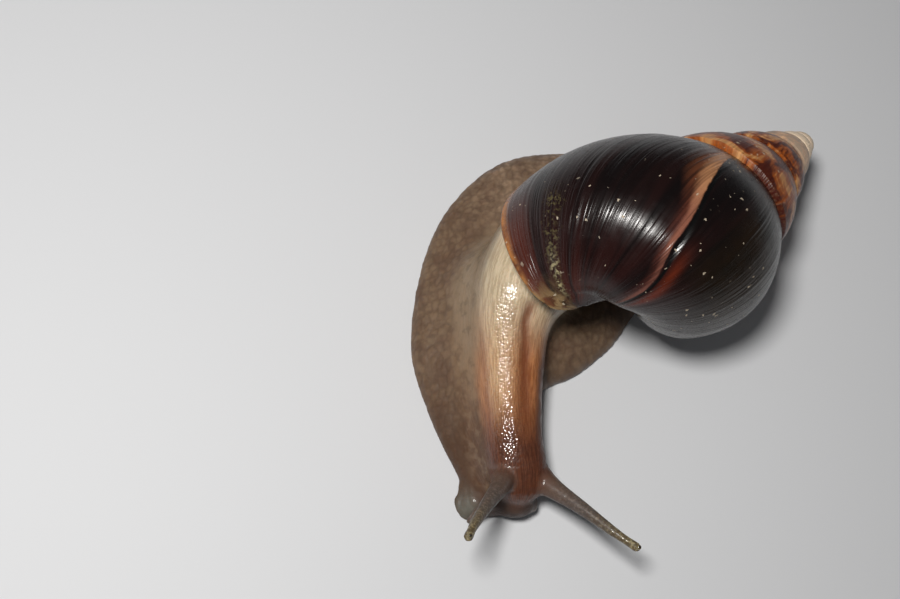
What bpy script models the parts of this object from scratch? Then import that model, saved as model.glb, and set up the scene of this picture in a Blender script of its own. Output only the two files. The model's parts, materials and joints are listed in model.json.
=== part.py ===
"""Giant african land snail, life size, crawling with its neck stretched out.

Metres, +Z up, the head towards -Y, sole on z = 0, origin at the middle of the footprint.
"""
import bpy
import bmesh
import numpy as np
from math import pi, radians, sin, cos
from mathutils import Vector, Matrix

NAME = "giant_african_land_snail"
MM = 0.001

# ---------------------------------------------------------------- shell
SHELL_HEIGHT = 93.7 * MM          # apex to base of the last whorl
WHORL_GROWTH = 1.603              # size gained in one turn
SUTURE_R = 0.206                  # section of the last whorl, as shares of that height
SUTURE_Z = 0.438
PERIPHERY_R = 0.325
PERIPHERY_Z = 0.825
SHOULDER_FILL = 0.68
BASE_FILL = 0.85
BASE_R = 0.057
BASE_IN_R = 0.027
BASE_IN_Z = 0.75
COLUMELLA_TIP_Z = 0.90           # the pillar ends inside the mouth
COLUMELLA_R = 0.019
LIP_LEAN = radians(-39.0)
LIP_BOW = radians(7.5)
LIP_REACH = radians(3.5)          # the lip runs on a little past the last full turn
LIP_FLARE = 0.03                  # and turns outwards
FLARE_SPAN = radians(16.0)
SPIRE_TURNS = 6
SEGMENTS = 32                     # facets in one turn
APEX = Vector((86.6, 41.8, 21.6)) * MM
AXIS_AZIMUTH = radians(38.0)
AXIS_RISE = radians(7.8)
AXIS_ROLL = radians(-254.0)
SPIRE_SWELL = 1.0 * MM            # the older whorls are fuller than the rule of growth gives,
SPIRE_PUSH = 1.0 * MM             # the apex stands out by this much
SPIRE_LEAN = Vector((-0.04, 0.48, 0.13)) * MM   # and the spire leans a little
BELLY_TUCK = 1.7 * MM             # behind the mouth the last whorl is a little flatter,
BELLY_AT = (0.49, 0.48)           # half a turn back and half-way down,
BELLY_SPREAD = (0.13, 0.16)
BASE_DROP = 2.1 * MM              # and its base hangs a little lower
BASE_AT = (0.33, 0.69)
BASE_SPREAD = (0.10, 0.09)
APERTURE_DEPTH = radians(16.0)    # how far the mouth of the shell is hollowed
LIP_WIDTH = 0.055                 # lip thickness as a share of the mouth

# ---------------------------------------------------------------- flesh
GAP = 0.32 * MM                   # air between neighbouring pieces
MARGIN = 1.3 * MM                 # thickness of the foot's edge
FOOT_HEIGHT = 10.0 * MM
FOOT_SLICES = 3                   # rings between two stations of the foot
UPPER_RADII = (3.2 * MM, 2.55 * MM, 1.95 * MM, 1.6 * MM, 1.34 * MM, 1.14 * MM, 1.0 * MM)
LOWER_RADII = (1.7 * MM, 1.35 * MM, 1.0 * MM)
BULB = 1.25 * MM
EYE = 0.62 * MM
LOBE = 2.72 * MM                  # mouth lobes
LOBE_STRETCH = (1.0, 0.98, 0.95)
LOBE_CENTRES = {"right": (10.7, -49.5, 4.1), "left": (16.5, -49.5, 4.1)}

# stations of the foot: outer edge x y, inner edge x y, height (mm)
FOOT = (
    ((8.4, -51.6), (14.0, -51.2), 2.6),
    ((2.2, -50.2), (16.8, -48.6), 3.4),
    ((2.6, -44.6), (17.4, -44.0), 4.8),
    ((-2.2, -35.2), (17.6, -37.0), 6.2),
    ((-6.6, -25.2), (18.6, -28.8), 7.8),
    ((-9.9, -12.0), (22.4, -21.3), 9.0),
    ((-7.2, 8.0), (31.0, -17.2), 10.0),
    ((-0.2, 23.8), (40.5, -9.4), 10.0),
    ((12.6, 36.0), (47.6, 0.2), 8.8),
    ((30.0, 40.2), (57.5, 9.5), 7.4),
    ((50.0, 39.6), (68.5, 15.5), 6.2),
    ((68.0, 34.5), (77.5, 19.0), 4.6),
    ((80.5, 28.6), (82.5, 24.6), 2.2),
)

# stations of trunk, neck and head: centre x y z, half width, half height (mm)
BODY = (
    ((25.5, 14.5, 33.0), 10.5, 9.5),
    ((22.5, 11.5, 28.0), 13.0, 11.5),
    ((18.0, 6.5, 21.5), 13.6, 12.2),
    ((12.2, -0.8, 17.0), 11.2, 11.2),
    ((10.0, -8.8, 14.6), 9.3, 9.8),
    ((10.2, -17.5, 12.6), 8.2, 8.9),
    ((10.6, -26.3, 11.2), 7.5, 8.3),
    ((11.4, -35.0, 10.2), 7.0, 7.8),
    ((12.6, -41.2, 9.6), 7.1, 7.2),
    ((13.3, -44.8, 9.0), 6.6, 6.2),
    ((13.6, -47.2, 8.2), 4.8, 4.6),
    ((13.7, -48.5, 7.6), 2.4, 2.4),
)

# centre lines of the feelers (mm)
UPPER_RIGHT = ((9.6, -42.6, 11.0), (7.0, -46.6, 16.4), (2.2, -51.6, 23.0), (-2.5, -56.7, 29.4), (-5.0, -60.0, 33.0))
UPPER_LEFT = ((17.4, -43.6, 11.2), (20.6, -46.8, 14.2), (25.6, -51.3, 18.0), (31.0, -56.4, 21.6), (35.4, -60.0, 24.0))
LOWER_RIGHT = ((9.6, -46.0, 6.4), (7.0, -49.2, 6.4), (4.4, -51.8, 6.0), (2.9, -53.3, 5.6))
LOWER_LEFT = ((16.4, -45.6, 6.0), (17.4, -47.8, 5.6), (18.1, -49.6, 5.0), (18.5, -50.9, 4.6))

FLESH = {
    "head": (0.30, 0.19, 0.13),
    "neck": (0.42, 0.26, 0.18),
    "trunk": (0.40, 0.30, 0.22),
    "mantle_collar": (0.50, 0.42, 0.32),
    "foot_front": (0.27, 0.20, 0.14),
    "foot_middle": (0.28, 0.21, 0.15),
    "foot_rear": (0.26, 0.20, 0.14),
    "tail": (0.25, 0.19, 0.13),
    "mouth_lobe_left": (0.52, 0.36, 0.26),
    "mouth_lobe_right": (0.52, 0.36, 0.26),
    "tentacle_upper_left": (0.33, 0.25, 0.18),
    "tentacle_upper_right": (0.33, 0.25, 0.18),
    "tentacle_lower_left": (0.40, 0.32, 0.24),
    "tentacle_lower_right": (0.40, 0.32, 0.24),
}


# ---------------------------------------------------------------- helpers
def clear():
    for ob in list(bpy.data.objects):
        bpy.data.objects.remove(ob, do_unlink=True)
    for col in list(bpy.data.collections):
        bpy.data.collections.remove(col)


def collection(name, hidden=False):
    col = bpy.data.collections.new(name)
    bpy.context.scene.collection.children.link(col)
    col.hide_render = hidden
    return col


def material(name, colour, rough=0.45):
    mat = bpy.data.materials.new(name)
    mat.use_nodes = True
    bsdf = mat.node_tree.nodes["Principled BSDF"]
    bsdf.inputs["Base Color"].default_value = (colour[0], colour[1], colour[2], 1.0)
    bsdf.inputs["Roughness"].default_value = rough
    mat.diffuse_color = (colour[0], colour[1], colour[2], 1.0)
    return mat


def mesh_object(name, verts, faces, col):
    mesh = bpy.data.meshes.new(name)
    mesh.from_pydata([tuple(v) for v in verts], [], faces)
    mesh.validate()
    bm = bmesh.new()
    bm.from_mesh(mesh)
    bmesh.ops.remove_doubles(bm, verts=bm.verts, dist=0.00002)
    bmesh.ops.recalc_face_normals(bm, faces=bm.faces)
    bm.to_mesh(mesh)
    bm.free()
    ob = bpy.data.objects.new(name, mesh)
    col.objects.link(ob)
    return ob


def spline(points, count):
    """Catmull-Rom samples, count per span, ends included."""
    pts = np.array(points, float)
    ext = np.vstack([2 * pts[0] - pts[1], pts, 2 * pts[-1] - pts[-2]])
    out = []
    for i in range(len(pts) - 1):
        p0, p1, p2, p3 = ext[i], ext[i + 1], ext[i + 2], ext[i + 3]
        for j in range(count):
            t = j / count
            out.append(0.5 * (2 * p1 + (p2 - p0) * t + (2 * p0 - 5 * p1 + 4 * p2 - p3) * t * t
                              + (3 * p1 - p0 - 3 * p2 + p3) * t ** 3))
    out.append(pts[-1])
    return np.array(out)


def loft(name, rings, col):
    """Closed skin over equal rings, both ends shut with a fan."""
    n = len(rings[0])
    verts = [p for ring in rings for p in ring]
    faces = []
    for i in range(len(rings) - 1):
        for j in range(n):
            k = (j + 1) % n
            faces.append((i * n + j, i * n + k, (i + 1) * n + k, (i + 1) * n + j))
    for start in (0, (len(rings) - 1) * n):
        verts.append(np.mean(verts[start:start + n], axis=0))
        pole = len(verts) - 1
        for j in range(n):
            faces.append((start + j, start + (j + 1) % n, pole))
    return mesh_object(name, verts, faces, col)


def tube_rings(centres, wide, high, sides, square=1.0):
    """Rings across a centre line; the high axis stays as upright as it can."""
    pts = np.array(centres, float)
    tan = np.gradient(pts, axis=0)
    tan /= np.linalg.norm(tan, axis=1)[:, None]
    rings = []
    for i in range(len(pts)):
        side = np.cross(tan[i], (0.0, 0.0, 1.0))
        side /= np.linalg.norm(side)
        up = np.cross(side, tan[i])
        ring = []
        for j in range(sides):
            a = 2 * pi * j / sides
            ca = abs(cos(a)) ** square * (1 if cos(a) >= 0 else -1)
            sa = abs(sin(a)) ** square * (1 if sin(a) >= 0 else -1)
            ring.append(pts[i] + side * wide[i] * ca + up * high[i] * sa)
        rings.append(ring)
    return rings


def box(name, low, high, col):
    bm = bmesh.new()
    bmesh.ops.create_cube(bm, size=1.0)
    low = Vector(low)
    high = Vector(high)
    mid = (low + high) / 2
    for v in bm.verts:
        v.co = Vector((v.co.x * (high.x - low.x), v.co.y * (high.y - low.y), v.co.z * (high.z - low.z))) + mid
    mesh = bpy.data.meshes.new(name)
    bm.to_mesh(mesh)
    bm.free()
    ob = bpy.data.objects.new(name, mesh)
    col.objects.link(ob)
    return ob


def slab(name, point, normal, thick, span, col):
    """Thin plate across a body, used to part it into pieces."""
    ob = box(name, (-span, -span, -thick / 2), (span, span, thick / 2), col)
    turn = Vector((0, 0, 1)).rotation_difference(Vector(normal).normalized()).to_matrix().to_4x4()
    ob.data.transform(Matrix.Translation(Vector(point)) @ turn)
    return ob


def half_space(name, point, normal, span, col):
    """Big block standing on the normal's side of a plane."""
    ob = box(name, (-span, -span, 0.0), (span, span, 2 * span), col)
    turn = Vector((0, 0, 1)).rotation_difference(Vector(normal).normalized()).to_matrix().to_4x4()
    ob.data.transform(Matrix.Translation(Vector(point)) @ turn)
    return ob


def boolean(ob, cutter, operation):
    cutter.hide_render = True
    cutter.display_type = "WIRE"
    mod = ob.modifiers.new("cut", "BOOLEAN")
    mod.operation = operation
    mod.solver = "EXACT"
    mod.object = cutter
    graph = bpy.context.evaluated_depsgraph_get()
    fresh = bpy.data.meshes.new_from_object(ob.evaluated_get(graph))
    ob.modifiers.clear()
    old = ob.data
    ob.data = fresh
    bpy.data.meshes.remove(old)
    return ob


def copy_of(ob, name, col):
    twin = ob.copy()
    twin.data = ob.data.copy()
    twin.name = name
    twin.hide_render = False
    twin.display_type = "TEXTURED"
    col.objects.link(twin)
    return twin


def swollen(ob, amount, name, col):
    """The same shape grown outwards all round."""
    twin = copy_of(ob, name, col)
    bm = bmesh.new()
    bm.from_mesh(twin.data)
    bm.normal_update()
    shift = [v.normal.copy() * amount for v in bm.verts]
    for v, d in zip(bm.verts, shift):
        v.co += d
    bm.to_mesh(twin.data)
    bm.free()
    return twin


def tidy(ob, dist=0.00002):
    """Weld slivers and keep the largest closed piece."""
    bm = bmesh.new()
    bm.from_mesh(ob.data)
    bmesh.ops.remove_doubles(bm, verts=bm.verts, dist=dist)
    bmesh.ops.dissolve_degenerate(bm, edges=bm.edges, dist=dist / 2)
    bm.verts.ensure_lookup_table()
    seen = set()
    groups = []
    for v in bm.verts:
        if v.index in seen:
            continue
        stack = [v]
        seen.add(v.index)
        group = []
        while stack:
            w = stack.pop()
            group.append(w)
            for e in w.link_edges:
                o = e.other_vert(w)
                if o.index not in seen:
                    seen.add(o.index)
                    stack.append(o)
        groups.append(group)
    groups.sort(key=len, reverse=True)
    for group in groups[1:]:
        bmesh.ops.delete(bm, geom=group, context="VERTS")
    bmesh.ops.recalc_face_normals(bm, faces=bm.faces)
    bmesh.ops.triangulate(bm, faces=[f for f in bm.faces if len(f.verts) > 4])
    bm.to_mesh(ob.data)
    bm.free()
    return ob


# ---------------------------------------------------------------- shell
def cubic(points, params, at):
    """Natural cubic spline through points."""
    x = np.array(params)
    y = np.array(points, float)
    n = len(x)
    h = np.diff(x)
    a = np.zeros((n, n))
    b = np.zeros((n, y.shape[1]))
    a[0, 0] = 1
    a[-1, -1] = 1
    for i in range(1, n - 1):
        a[i, i - 1] = h[i - 1]
        a[i, i] = 2 * (h[i - 1] + h[i])
        a[i, i + 1] = h[i]
        b[i] = 6 * ((y[i + 1] - y[i]) / h[i] - (y[i] - y[i - 1]) / h[i - 1])
    m = np.linalg.solve(a, b)
    out = []
    for t in at:
        i = min(max(int(np.searchsorted(x, t)) - 1, 0), n - 2)
        d = x[i + 1] - x[i]
        p = (x[i + 1] - t) / d
        q = (t - x[i]) / d
        out.append(p * y[i] + q * y[i + 1] + ((p ** 3 - p) * m[i] + (q ** 3 - q) * m[i + 1]) * d * d / 6)
    return np.array(out)


def whorl_profile():
    """Control points (r, z) of one whorl as shares of the shell height, and their parameters."""
    pts = np.array((
        (SUTURE_R, SUTURE_Z),
        (SUTURE_R + SHOULDER_FILL * (PERIPHERY_R - SUTURE_R), SUTURE_Z + 0.32 * (PERIPHERY_Z - SUTURE_Z)),
        (PERIPHERY_R, PERIPHERY_Z),
        (PERIPHERY_R * BASE_FILL, PERIPHERY_Z + 0.56 * (1 - PERIPHERY_Z)),
        (BASE_R, 1.0),
        (BASE_IN_R, BASE_IN_Z),
    ))
    d = np.concatenate([[0.0], np.cumsum(np.hypot(*np.diff(pts, axis=0).T))])
    return pts, d / d[-1]


def smooth_step(x, low, high):
    """0 below low, 1 above high, smooth between."""
    t = min(max((x - low) / (high - low), 0.0), 1.0)
    return t * t * (3 - 2 * t)


def patch(age, t, at, spread):
    """1 at a place on the last whorl (turns back from the lip, way down the section), fading round it."""
    return float(np.exp(-((age - at[0]) / spread[0]) ** 2 - ((t - at[1]) / spread[1]) ** 2))


def shell_frame():
    k = np.array((-cos(AXIS_RISE) * cos(AXIS_AZIMUTH), -cos(AXIS_RISE) * sin(AXIS_AZIMUTH), sin(AXIS_RISE)))
    e = np.array((0.0, 0.0, 1.0))
    e = e - k * e.dot(k)
    e /= np.linalg.norm(e)
    f = np.cross(k, e)
    e1 = cos(AXIS_ROLL) * e + sin(AXIS_ROLL) * f
    return k, e1, np.cross(k, e1)


def zip_rows(row_a, row_b):
    """Triangles between two rows of vertex numbers of any length."""
    faces = []
    i = 0
    j = 0
    while i < len(row_a) - 1 or j < len(row_b) - 1:
        fa = (i + 1) / (len(row_a) - 1) if i < len(row_a) - 1 else 9.0
        fb = (j + 1) / (len(row_b) - 1) if j < len(row_b) - 1 else 9.0
        if fa <= fb:
            tri = (row_a[i], row_a[i + 1], row_b[j])
            i += 1
        else:
            tri = (row_a[i], row_b[j + 1], row_b[j])
            j += 1
        if len(set(tri)) == 3:
            faces.append(tri)
    return faces


def build_shell(col):
    pts, par = whorl_profile()
    k, e1, e2 = shell_frame()
    apex = np.array(APEX)
    fine = np.linspace(0, par[4], 400)
    curve = cubic(pts, par, fine)
    nxt = WHORL_GROWTH * curve[0]
    hit = fine[np.argmin(np.hypot(*(curve - nxt).T))]
    band = 5
    lower = 12
    pillar = 4
    t_grid = list(np.linspace(0, hit, band + 1)) + list(np.linspace(hit, par[4], lower + 1)[1:])
    prof = cubic(pts, par, t_grid)
    last = len(t_grid) - 1
    cols = last + pillar

    def place(turn, r, z):
        age = -turn / (2 * pi)
        full = smooth_step(age, 0.75, 1.35)
        r = r * SHELL_HEIGHT + SPIRE_SWELL * full
        z = z * SHELL_HEIGHT - SPIRE_PUSH * smooth_step(age, 1.0, 4.0)
        return apex + r * (cos(turn) * e1 + sin(turn) * e2) + z * k + np.array(SPIRE_LEAN) * full

    def scale(turn):
        return WHORL_GROWTH ** (turn / (2 * pi))

    verts = []
    number = {}
    polar = {}

    def vert(key, turn, r, z):
        number[key] = len(verts)
        polar[key] = (turn, r, z)
        verts.append(place(turn, r, z))

    def lip_angle(t):
        return LIP_LEAN * t + LIP_BOW * 4 * t * (1 - t) + LIP_REACH * min(1.0, t / hit)

    def flare(turn, t):
        near = min(max(1 + (turn - lip_angle(t)) / FLARE_SPAN, 0.0), 1.0)
        return 1 + LIP_FLARE * near * near * min(1.0, max(0.0, t - 0.25) / 0.3) * min(1.0, (1.02 - t) / 0.2)

    def section(point, turn, t):
        """A point of the section, grown to the angle and moved by the two uneven places."""
        s = scale(turn)
        age = (lip_angle(t) - turn) / (2 * pi)
        tuck = BELLY_TUCK / SHELL_HEIGHT * patch(age, t, BELLY_AT, BELLY_SPREAD)
        drop = BASE_DROP / SHELL_HEIGHT * patch(age, t, BASE_AT, BASE_SPREAD)
        return point[0] * s * flare(turn, t) - tuck, point[1] * s + drop

    n = SEGMENTS
    tip = ("tip",)
    vert(tip, 0.0, 0.0, COLUMELLA_TIP_Z)
    first = -(SPIRE_TURNS + 1) * n
    for i in range(first, -n + 1):
        turn = 2 * pi * i / n
        s = scale(turn)
        for j in range(band):
            vert((i, j), turn, prof[j][0] * s, prof[j][1] * s)
    for i in range(-n, 1):
        u = (i + n) / n
        for j in range(cols):
            if (i, j) in number:
                continue
            if j == band and i == -n:
                continue
            if j <= last:
                t = t_grid[j]
                turn = -2 * pi + u * (lip_angle(t) + 2 * pi)
                vert((i, j), turn, *section(prof[j], turn, t))
            else:
                g = (j - last) / pillar
                t = t_grid[last]
                turn = -2 * pi + u * (lip_angle(t) + 2 * pi)
                r0, z0 = section(prof[last], turn, t)
                r = max(r0 * (1 - g), COLUMELLA_R * min(1.0, 2.2 * (1 - g)))
                vert((i, j), turn, r, z0 + (COLUMELLA_TIP_Z - z0) * g * g)

    def num(i, j):
        if j >= cols:
            return number[tip]
        if j == band and i <= -n:
            return number[(i + n, 0)]
        return number[(i, j)]

    faces = []
    for i in range(first, -n):
        for j in range(band):
            faces.append((num(i, j), num(i + 1, j), num(i + 1, j + 1), num(i, j + 1)))
    for i in range(-n, 0):
        for j in range(cols):
            quad = []
            for key in ((i, j), (i + 1, j), (i + 1, j + 1), (i, j + 1)):
                v = num(*key)
                if v not in quad:
                    quad.append(v)
            if len(quad) > 2:
                faces.append(tuple(quad))
    # cap of the first turn
    ring = [number[(first, j)] for j in range(band)]
    ring = list(reversed(ring)) + [number[(first + i, 0)] for i in range(1, n + 1)]
    centre = np.mean([verts[v] for v in ring], axis=0)
    top = centre - k * SHELL_HEIGHT * scale(2 * pi * first / n) * 0.22
    verts.append(top)
    pole = len(verts) - 1
    for a in range(len(ring)):
        faces.append((ring[a], ring[(a + 1) % len(ring)], pole))
    # mouth: from the lip inwards to the wall of the whorl before
    lip = [num(0, j) for j in range(cols + 1)]
    wall = [num(-n, j) for j in range(band, cols + 1)]
    lip_polar = [polar[(0, j)] for j in range(cols)] + [polar[tip]]
    wall_polar = [(0.0,) + polar[(0, 0)][1:]]
    for j in range(band + 1, cols):
        wall_polar.append((0.0,) + polar[(-n, j)][1:])
    wall_polar.append((0.0,) + polar[tip][1:])
    lip_polar[-1] = (lip_polar[-2][0],) + lip_polar[-1][1:]
    la = np.array(lip_polar)
    wa = np.array(wall_polar)
    fa = np.linspace(0, 1, len(la))
    fb = np.linspace(0, 1, len(wa))
    wr = np.stack([np.interp(fa, fb, wa[:, c]) for c in range(3)], axis=1)
    rows = [lip]
    for share, depth in ((LIP_WIDTH, 0.0), (LIP_WIDTH * 1.7, 0.75), (0.24, 1.0), (0.46, 1.0), (0.68, 0.8), (0.86, 0.4)):
        row = [lip[0]]
        for j in range(1, len(la) - 1):
            p = la[j] * (1 - share) + wr[j] * share
            room = min(1.0, 2.5 * np.hypot(*(la[j] - wr[j])[1:]) / 0.3)
            back = APERTURE_DEPTH * depth * room
            s = scale(-back)
            verts.append(place(p[0] - back, p[1] * s, p[2] * s))
            row.append(len(verts) - 1)
        row.append(lip[-1])
        rows.append(row)
    rows.append(wall)
    for a, b in zip(rows[:-1], rows[1:]):
        faces += zip_rows(a, b)
    return mesh_object("shell", verts, faces, col)


# ---------------------------------------------------------------- flesh
def build_foot(col, grow=0.0):
    left = spline([(a[0], a[1]) for a, b, h in FOOT], FOOT_SLICES) * MM
    right = spline([(b[0], b[1]) for a, b, h in FOOT], FOOT_SLICES) * MM
    tall = spline([(h, 0.0) for a, b, h in FOOT], FOOT_SLICES)[:, 0] * MM
    rings = []
    over = 16
    under = 6
    for lo, ro, h in zip(left, right, tall):
        ring = []
        for j in range(over + 1):
            a = pi * j / over
            f = (1 - cos(a)) / 2
            xy = ro + (lo - ro) * f
            edge = min(1.0, sin(a) * 3.2) * MARGIN
            z = edge + (h - MARGIN) * sin(a) ** 1.7
            ring.append(np.array((xy[0], xy[1], max(z, 0.0))))
        ring[0][2] = 0.35 * MM
        ring[-1][2] = 0.35 * MM
        for j in range(under + 1):
            f = 0.985 - 0.97 * j / under
            xy = ro + (lo - ro) * f
            ring.append(np.array((xy[0], xy[1], 0.0)))
        rings.append(ring)
    return loft("foot", rings, col)


def build_body(col, grow, name):
    slices = 3
    centre = spline([c for c, a, b in BODY], slices) * MM
    wide = spline([(a, 0.0) for c, a, b in BODY], slices)[:, 0] * MM + grow
    high = spline([(b, 0.0) for c, a, b in BODY], slices)[:, 0] * MM + grow
    return loft(name, tube_rings(centre, wide, high, 24, 0.92), col)


def build_feeler(name, line, radii, col, grow=0.0, bulb=0.0):
    """Tapered curve with a rounded tip, turned into a mesh; returns it and its centre line."""
    centre = spline(line, 4) * MM
    share = np.linspace(0, 1, len(centre))
    rad = np.interp(share, np.linspace(0, 1, len(radii)), radii)
    if bulb:
        swell = np.exp(-((share - 1.0) / 0.05) ** 2)
        rad = rad + (bulb - rad) * swell
    end = centre[-1] - centre[-2]
    end /= np.linalg.norm(end)
    extra = [centre[-1] + end * rad[-1] * f for f in (0.35, 0.65, 0.87, 0.97)]
    extra_r = [rad[-1] * g for g in (0.94, 0.76, 0.49, 0.22)]
    centre = np.vstack([centre, extra])
    rad = np.concatenate([rad, extra_r]) + grow
    curve = bpy.data.curves.new(name + "_line", "CURVE")
    curve.dimensions = "3D"
    curve.bevel_depth = MM
    curve.bevel_resolution = 2
    curve.use_fill_caps = True
    curve.twist_mode = "MINIMUM"
    run = curve.splines.new("POLY")
    run.points.add(len(centre) - 1)
    for point, co, r in zip(run.points, centre, rad):
        point.co = (co[0], co[1], co[2], 1.0)
        point.radius = r / MM
    guide = bpy.data.objects.new(name + "_line", curve)
    col.objects.link(guide)
    graph = bpy.context.evaluated_depsgraph_get()
    mesh = bpy.data.meshes.new_from_object(guide.evaluated_get(graph))
    bm = bmesh.new()
    bm.from_mesh(mesh)
    bmesh.ops.remove_doubles(bm, verts=bm.verts, dist=0.00002)
    bmesh.ops.recalc_face_normals(bm, faces=bm.faces)
    bm.to_mesh(mesh)
    bm.free()
    ob = bpy.data.objects.new(name, mesh)
    ob.matrix_world = guide.matrix_world.copy()
    col.objects.link(ob)
    bpy.data.objects.remove(guide, do_unlink=True)
    return ob, centre


def build_ball(name, centre, radius, stretch, col, rings=10, sides=14):
    bm = bmesh.new()
    bmesh.ops.create_uvsphere(bm, u_segments=sides, v_segments=rings, radius=radius)
    for v in bm.verts:
        v.co = Vector((v.co.x * stretch[0], v.co.y * stretch[1], v.co.z * stretch[2])) + Vector(centre)
    mesh = bpy.data.meshes.new(name)
    bm.to_mesh(mesh)
    bm.free()
    ob = bpy.data.objects.new(name, mesh)
    col.objects.link(ob)
    return ob


def main():
    clear()
    parts = collection(NAME)
    tools = collection("cutters", True)
    made = {}

    shell = build_shell(parts)
    shell_big = swollen(shell, GAP, "shell_clear", tools)

    foot = build_foot(tools)
    body = build_body(tools, 0.0, "body")
    body_big = build_body(tools, GAP, "body_clear")
    boolean(foot, body_big, "DIFFERENCE")
    boolean(foot, shell_big, "DIFFERENCE")
    boolean(body, shell_big, "DIFFERENCE")

    # parts of the foot
    cuts = (
        ("foot_front", None, ((7.0, -27.0, 0.0), (0.05, 1.0, 0.0))),
        ("foot_middle", ((7.0, -27.0, 0.0), (0.05, 1.0, 0.0)), ((18.0, 9.0, 0.0), (0.75, 0.66, 0.0))),
        ("foot_rear", ((18.0, 9.0, 0.0), (0.75, 0.66, 0.0)), ((56.0, 22.0, 0.0), (0.92, 0.39, 0.0))),
        ("tail", ((56.0, 22.0, 0.0), (0.92, 0.39, 0.0)), None),
    )

    def piece(source, name, before, after):
        ob = copy_of(source, name, parts)
        if before:
            p = Vector(before[0]) * MM + Vector(before[1]).normalized() * (GAP / 2)
            boolean(ob, half_space(name + "_a", p, -Vector(before[1]), 0.2, tools), "DIFFERENCE")
        if after:
            p = Vector(after[0]) * MM - Vector(after[1]).normalized() * (GAP / 2)
            boolean(ob, half_space(name + "_b", p, Vector(after[1]), 0.2, tools), "DIFFERENCE")
        made[name] = ob
        return ob

    for name, before, after in cuts:
        piece(foot, name, before, after)

    # feelers and their clearances
    body_head = copy_of(body_big, "head_clear", tools)
    feelers = {}
    for name, line, radii, bulb in (
        ("tentacle_upper_left", UPPER_LEFT, UPPER_RADII, BULB),
        ("tentacle_upper_right", UPPER_RIGHT, UPPER_RADII, BULB),
        ("tentacle_lower_left", LOWER_LEFT, LOWER_RADII, 0.0),
        ("tentacle_lower_right", LOWER_RIGHT, LOWER_RADII, 0.0),
    ):
        ob, line_out = build_feeler(name, line, radii, parts, 0.0, bulb)
        boolean(ob, body_head, "DIFFERENCE")
        feelers[name] = line_out
        made[name] = ob

    # eyes sit in pits on the outer face of the bulbs
    for side in ("left", "right"):
        line_out = feelers["tentacle_upper_" + side]
        along = Vector(line_out[-1]) - Vector(line_out[-6])
        along.normalize()
        up = Vector((0, 0, 1))
        lift = (up - along * up.dot(along)).normalized()
        centre = Vector(line_out[-5]) + along * 0.55 * MM + lift * 0.72 * MM
        eye = build_ball("eye_" + side, centre, EYE, (1, 1, 1), parts)
        pit = build_ball("eye_pit_" + side, centre, EYE + 0.30 * MM, (1, 1, 1), tools)
        boolean(made["tentacle_upper_" + side], pit, "DIFFERENCE")
        made["eye_" + side] = eye

    # mouth lobes under the front of the head
    for side, centre in LOBE_CENTRES.items():
        centre = Vector(centre) * MM
        line = LOWER_LEFT if side == "left" else LOWER_RIGHT
        feeler_big = build_feeler("lower_clear_" + side, line, LOWER_RADII, tools, GAP)[0]
        lobe_big = build_ball("lobe_clear_" + side, centre, LOBE + GAP, LOBE_STRETCH, tools, 14, 20)
        lobe = build_ball("mouth_lobe_" + side, centre, LOBE, LOBE_STRETCH, parts, 14, 20)
        boolean(lobe, body_big, "DIFFERENCE")
        boolean(lobe, feeler_big, "DIFFERENCE")
        boolean(made["foot_front"], lobe_big, "DIFFERENCE")
        boolean(made["foot_front"], feeler_big, "DIFFERENCE")
        made["mouth_lobe_" + side] = lobe

    # trunk, neck, head and the collar of the mantle
    head_cut = ((12.9, -40.2, 9.0), (0.1, -1.0, -0.12))
    neck_cut = ((13.6, -2.0, 16.0), (-0.3, -0.9, -0.25))
    collar_cut = ((21.2, 10.4, 26.4), (-0.45, -0.5, -0.72))
    piece(body, "mantle_collar", None, collar_cut)
    piece(body, "trunk", collar_cut, neck_cut)
    piece(body, "neck", neck_cut, head_cut)
    piece(body, "head", head_cut, None)

    made["shell"] = shell
    for name, ob in made.items():
        tidy(ob)
        ob.name = name
        ob.data.name = name
        if name == "shell":
            mat = material("shell", (0.10, 0.035, 0.02), 0.28)
        elif name.startswith("eye"):
            mat = material(name, (0.012, 0.010, 0.010), 0.15)
        else:
            mat = material(name, FLESH[name], 0.35)
        ob.data.materials.clear()
        ob.data.materials.append(mat)
        for poly in ob.data.polygons:
            poly.use_smooth = True

    for ob in list(tools.objects):
        bpy.data.objects.remove(ob, do_unlink=True)

    low = Vector((1e9, 1e9, 1e9))
    high = Vector((-1e9, -1e9, -1e9))
    for ob in parts.objects:
        for v in ob.data.vertices:
            low = Vector(map(min, low, v.co))
            high = Vector(map(max, high, v.co))
    shift = Vector((-(low.x + high.x) / 2, -(low.y + high.y) / 2, -low.z))
    for ob in parts.objects:
        ob.data.transform(Matrix.Translation(shift))
    print("shift mm", [round(c * 1000, 3) for c in shift], "size mm", [round(c * 1000, 2) for c in high - low])
    for ob in parts.objects:
        tris = sum(len(p.vertices) - 2 for p in ob.data.polygons)
        bm = bmesh.new()
        bm.from_mesh(ob.data)
        bad = sum(1 for e in bm.edges if len(e.link_faces) != 2)
        vol = bm.calc_volume() * 1e9
        bm.free()
        zs = [v.co.z * 1000 for v in ob.data.vertices]
        print(f"{ob.name:22s} tris {tris:5d} bad edges {bad:3d} volume {vol:9.1f} z {min(zs):.2f} {max(zs):.2f}")


main()
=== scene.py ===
import json
import bpy
import bmesh
import numpy as np
from math import pi, radians, sin, cos
from mathutils import Matrix, Vector

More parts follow.
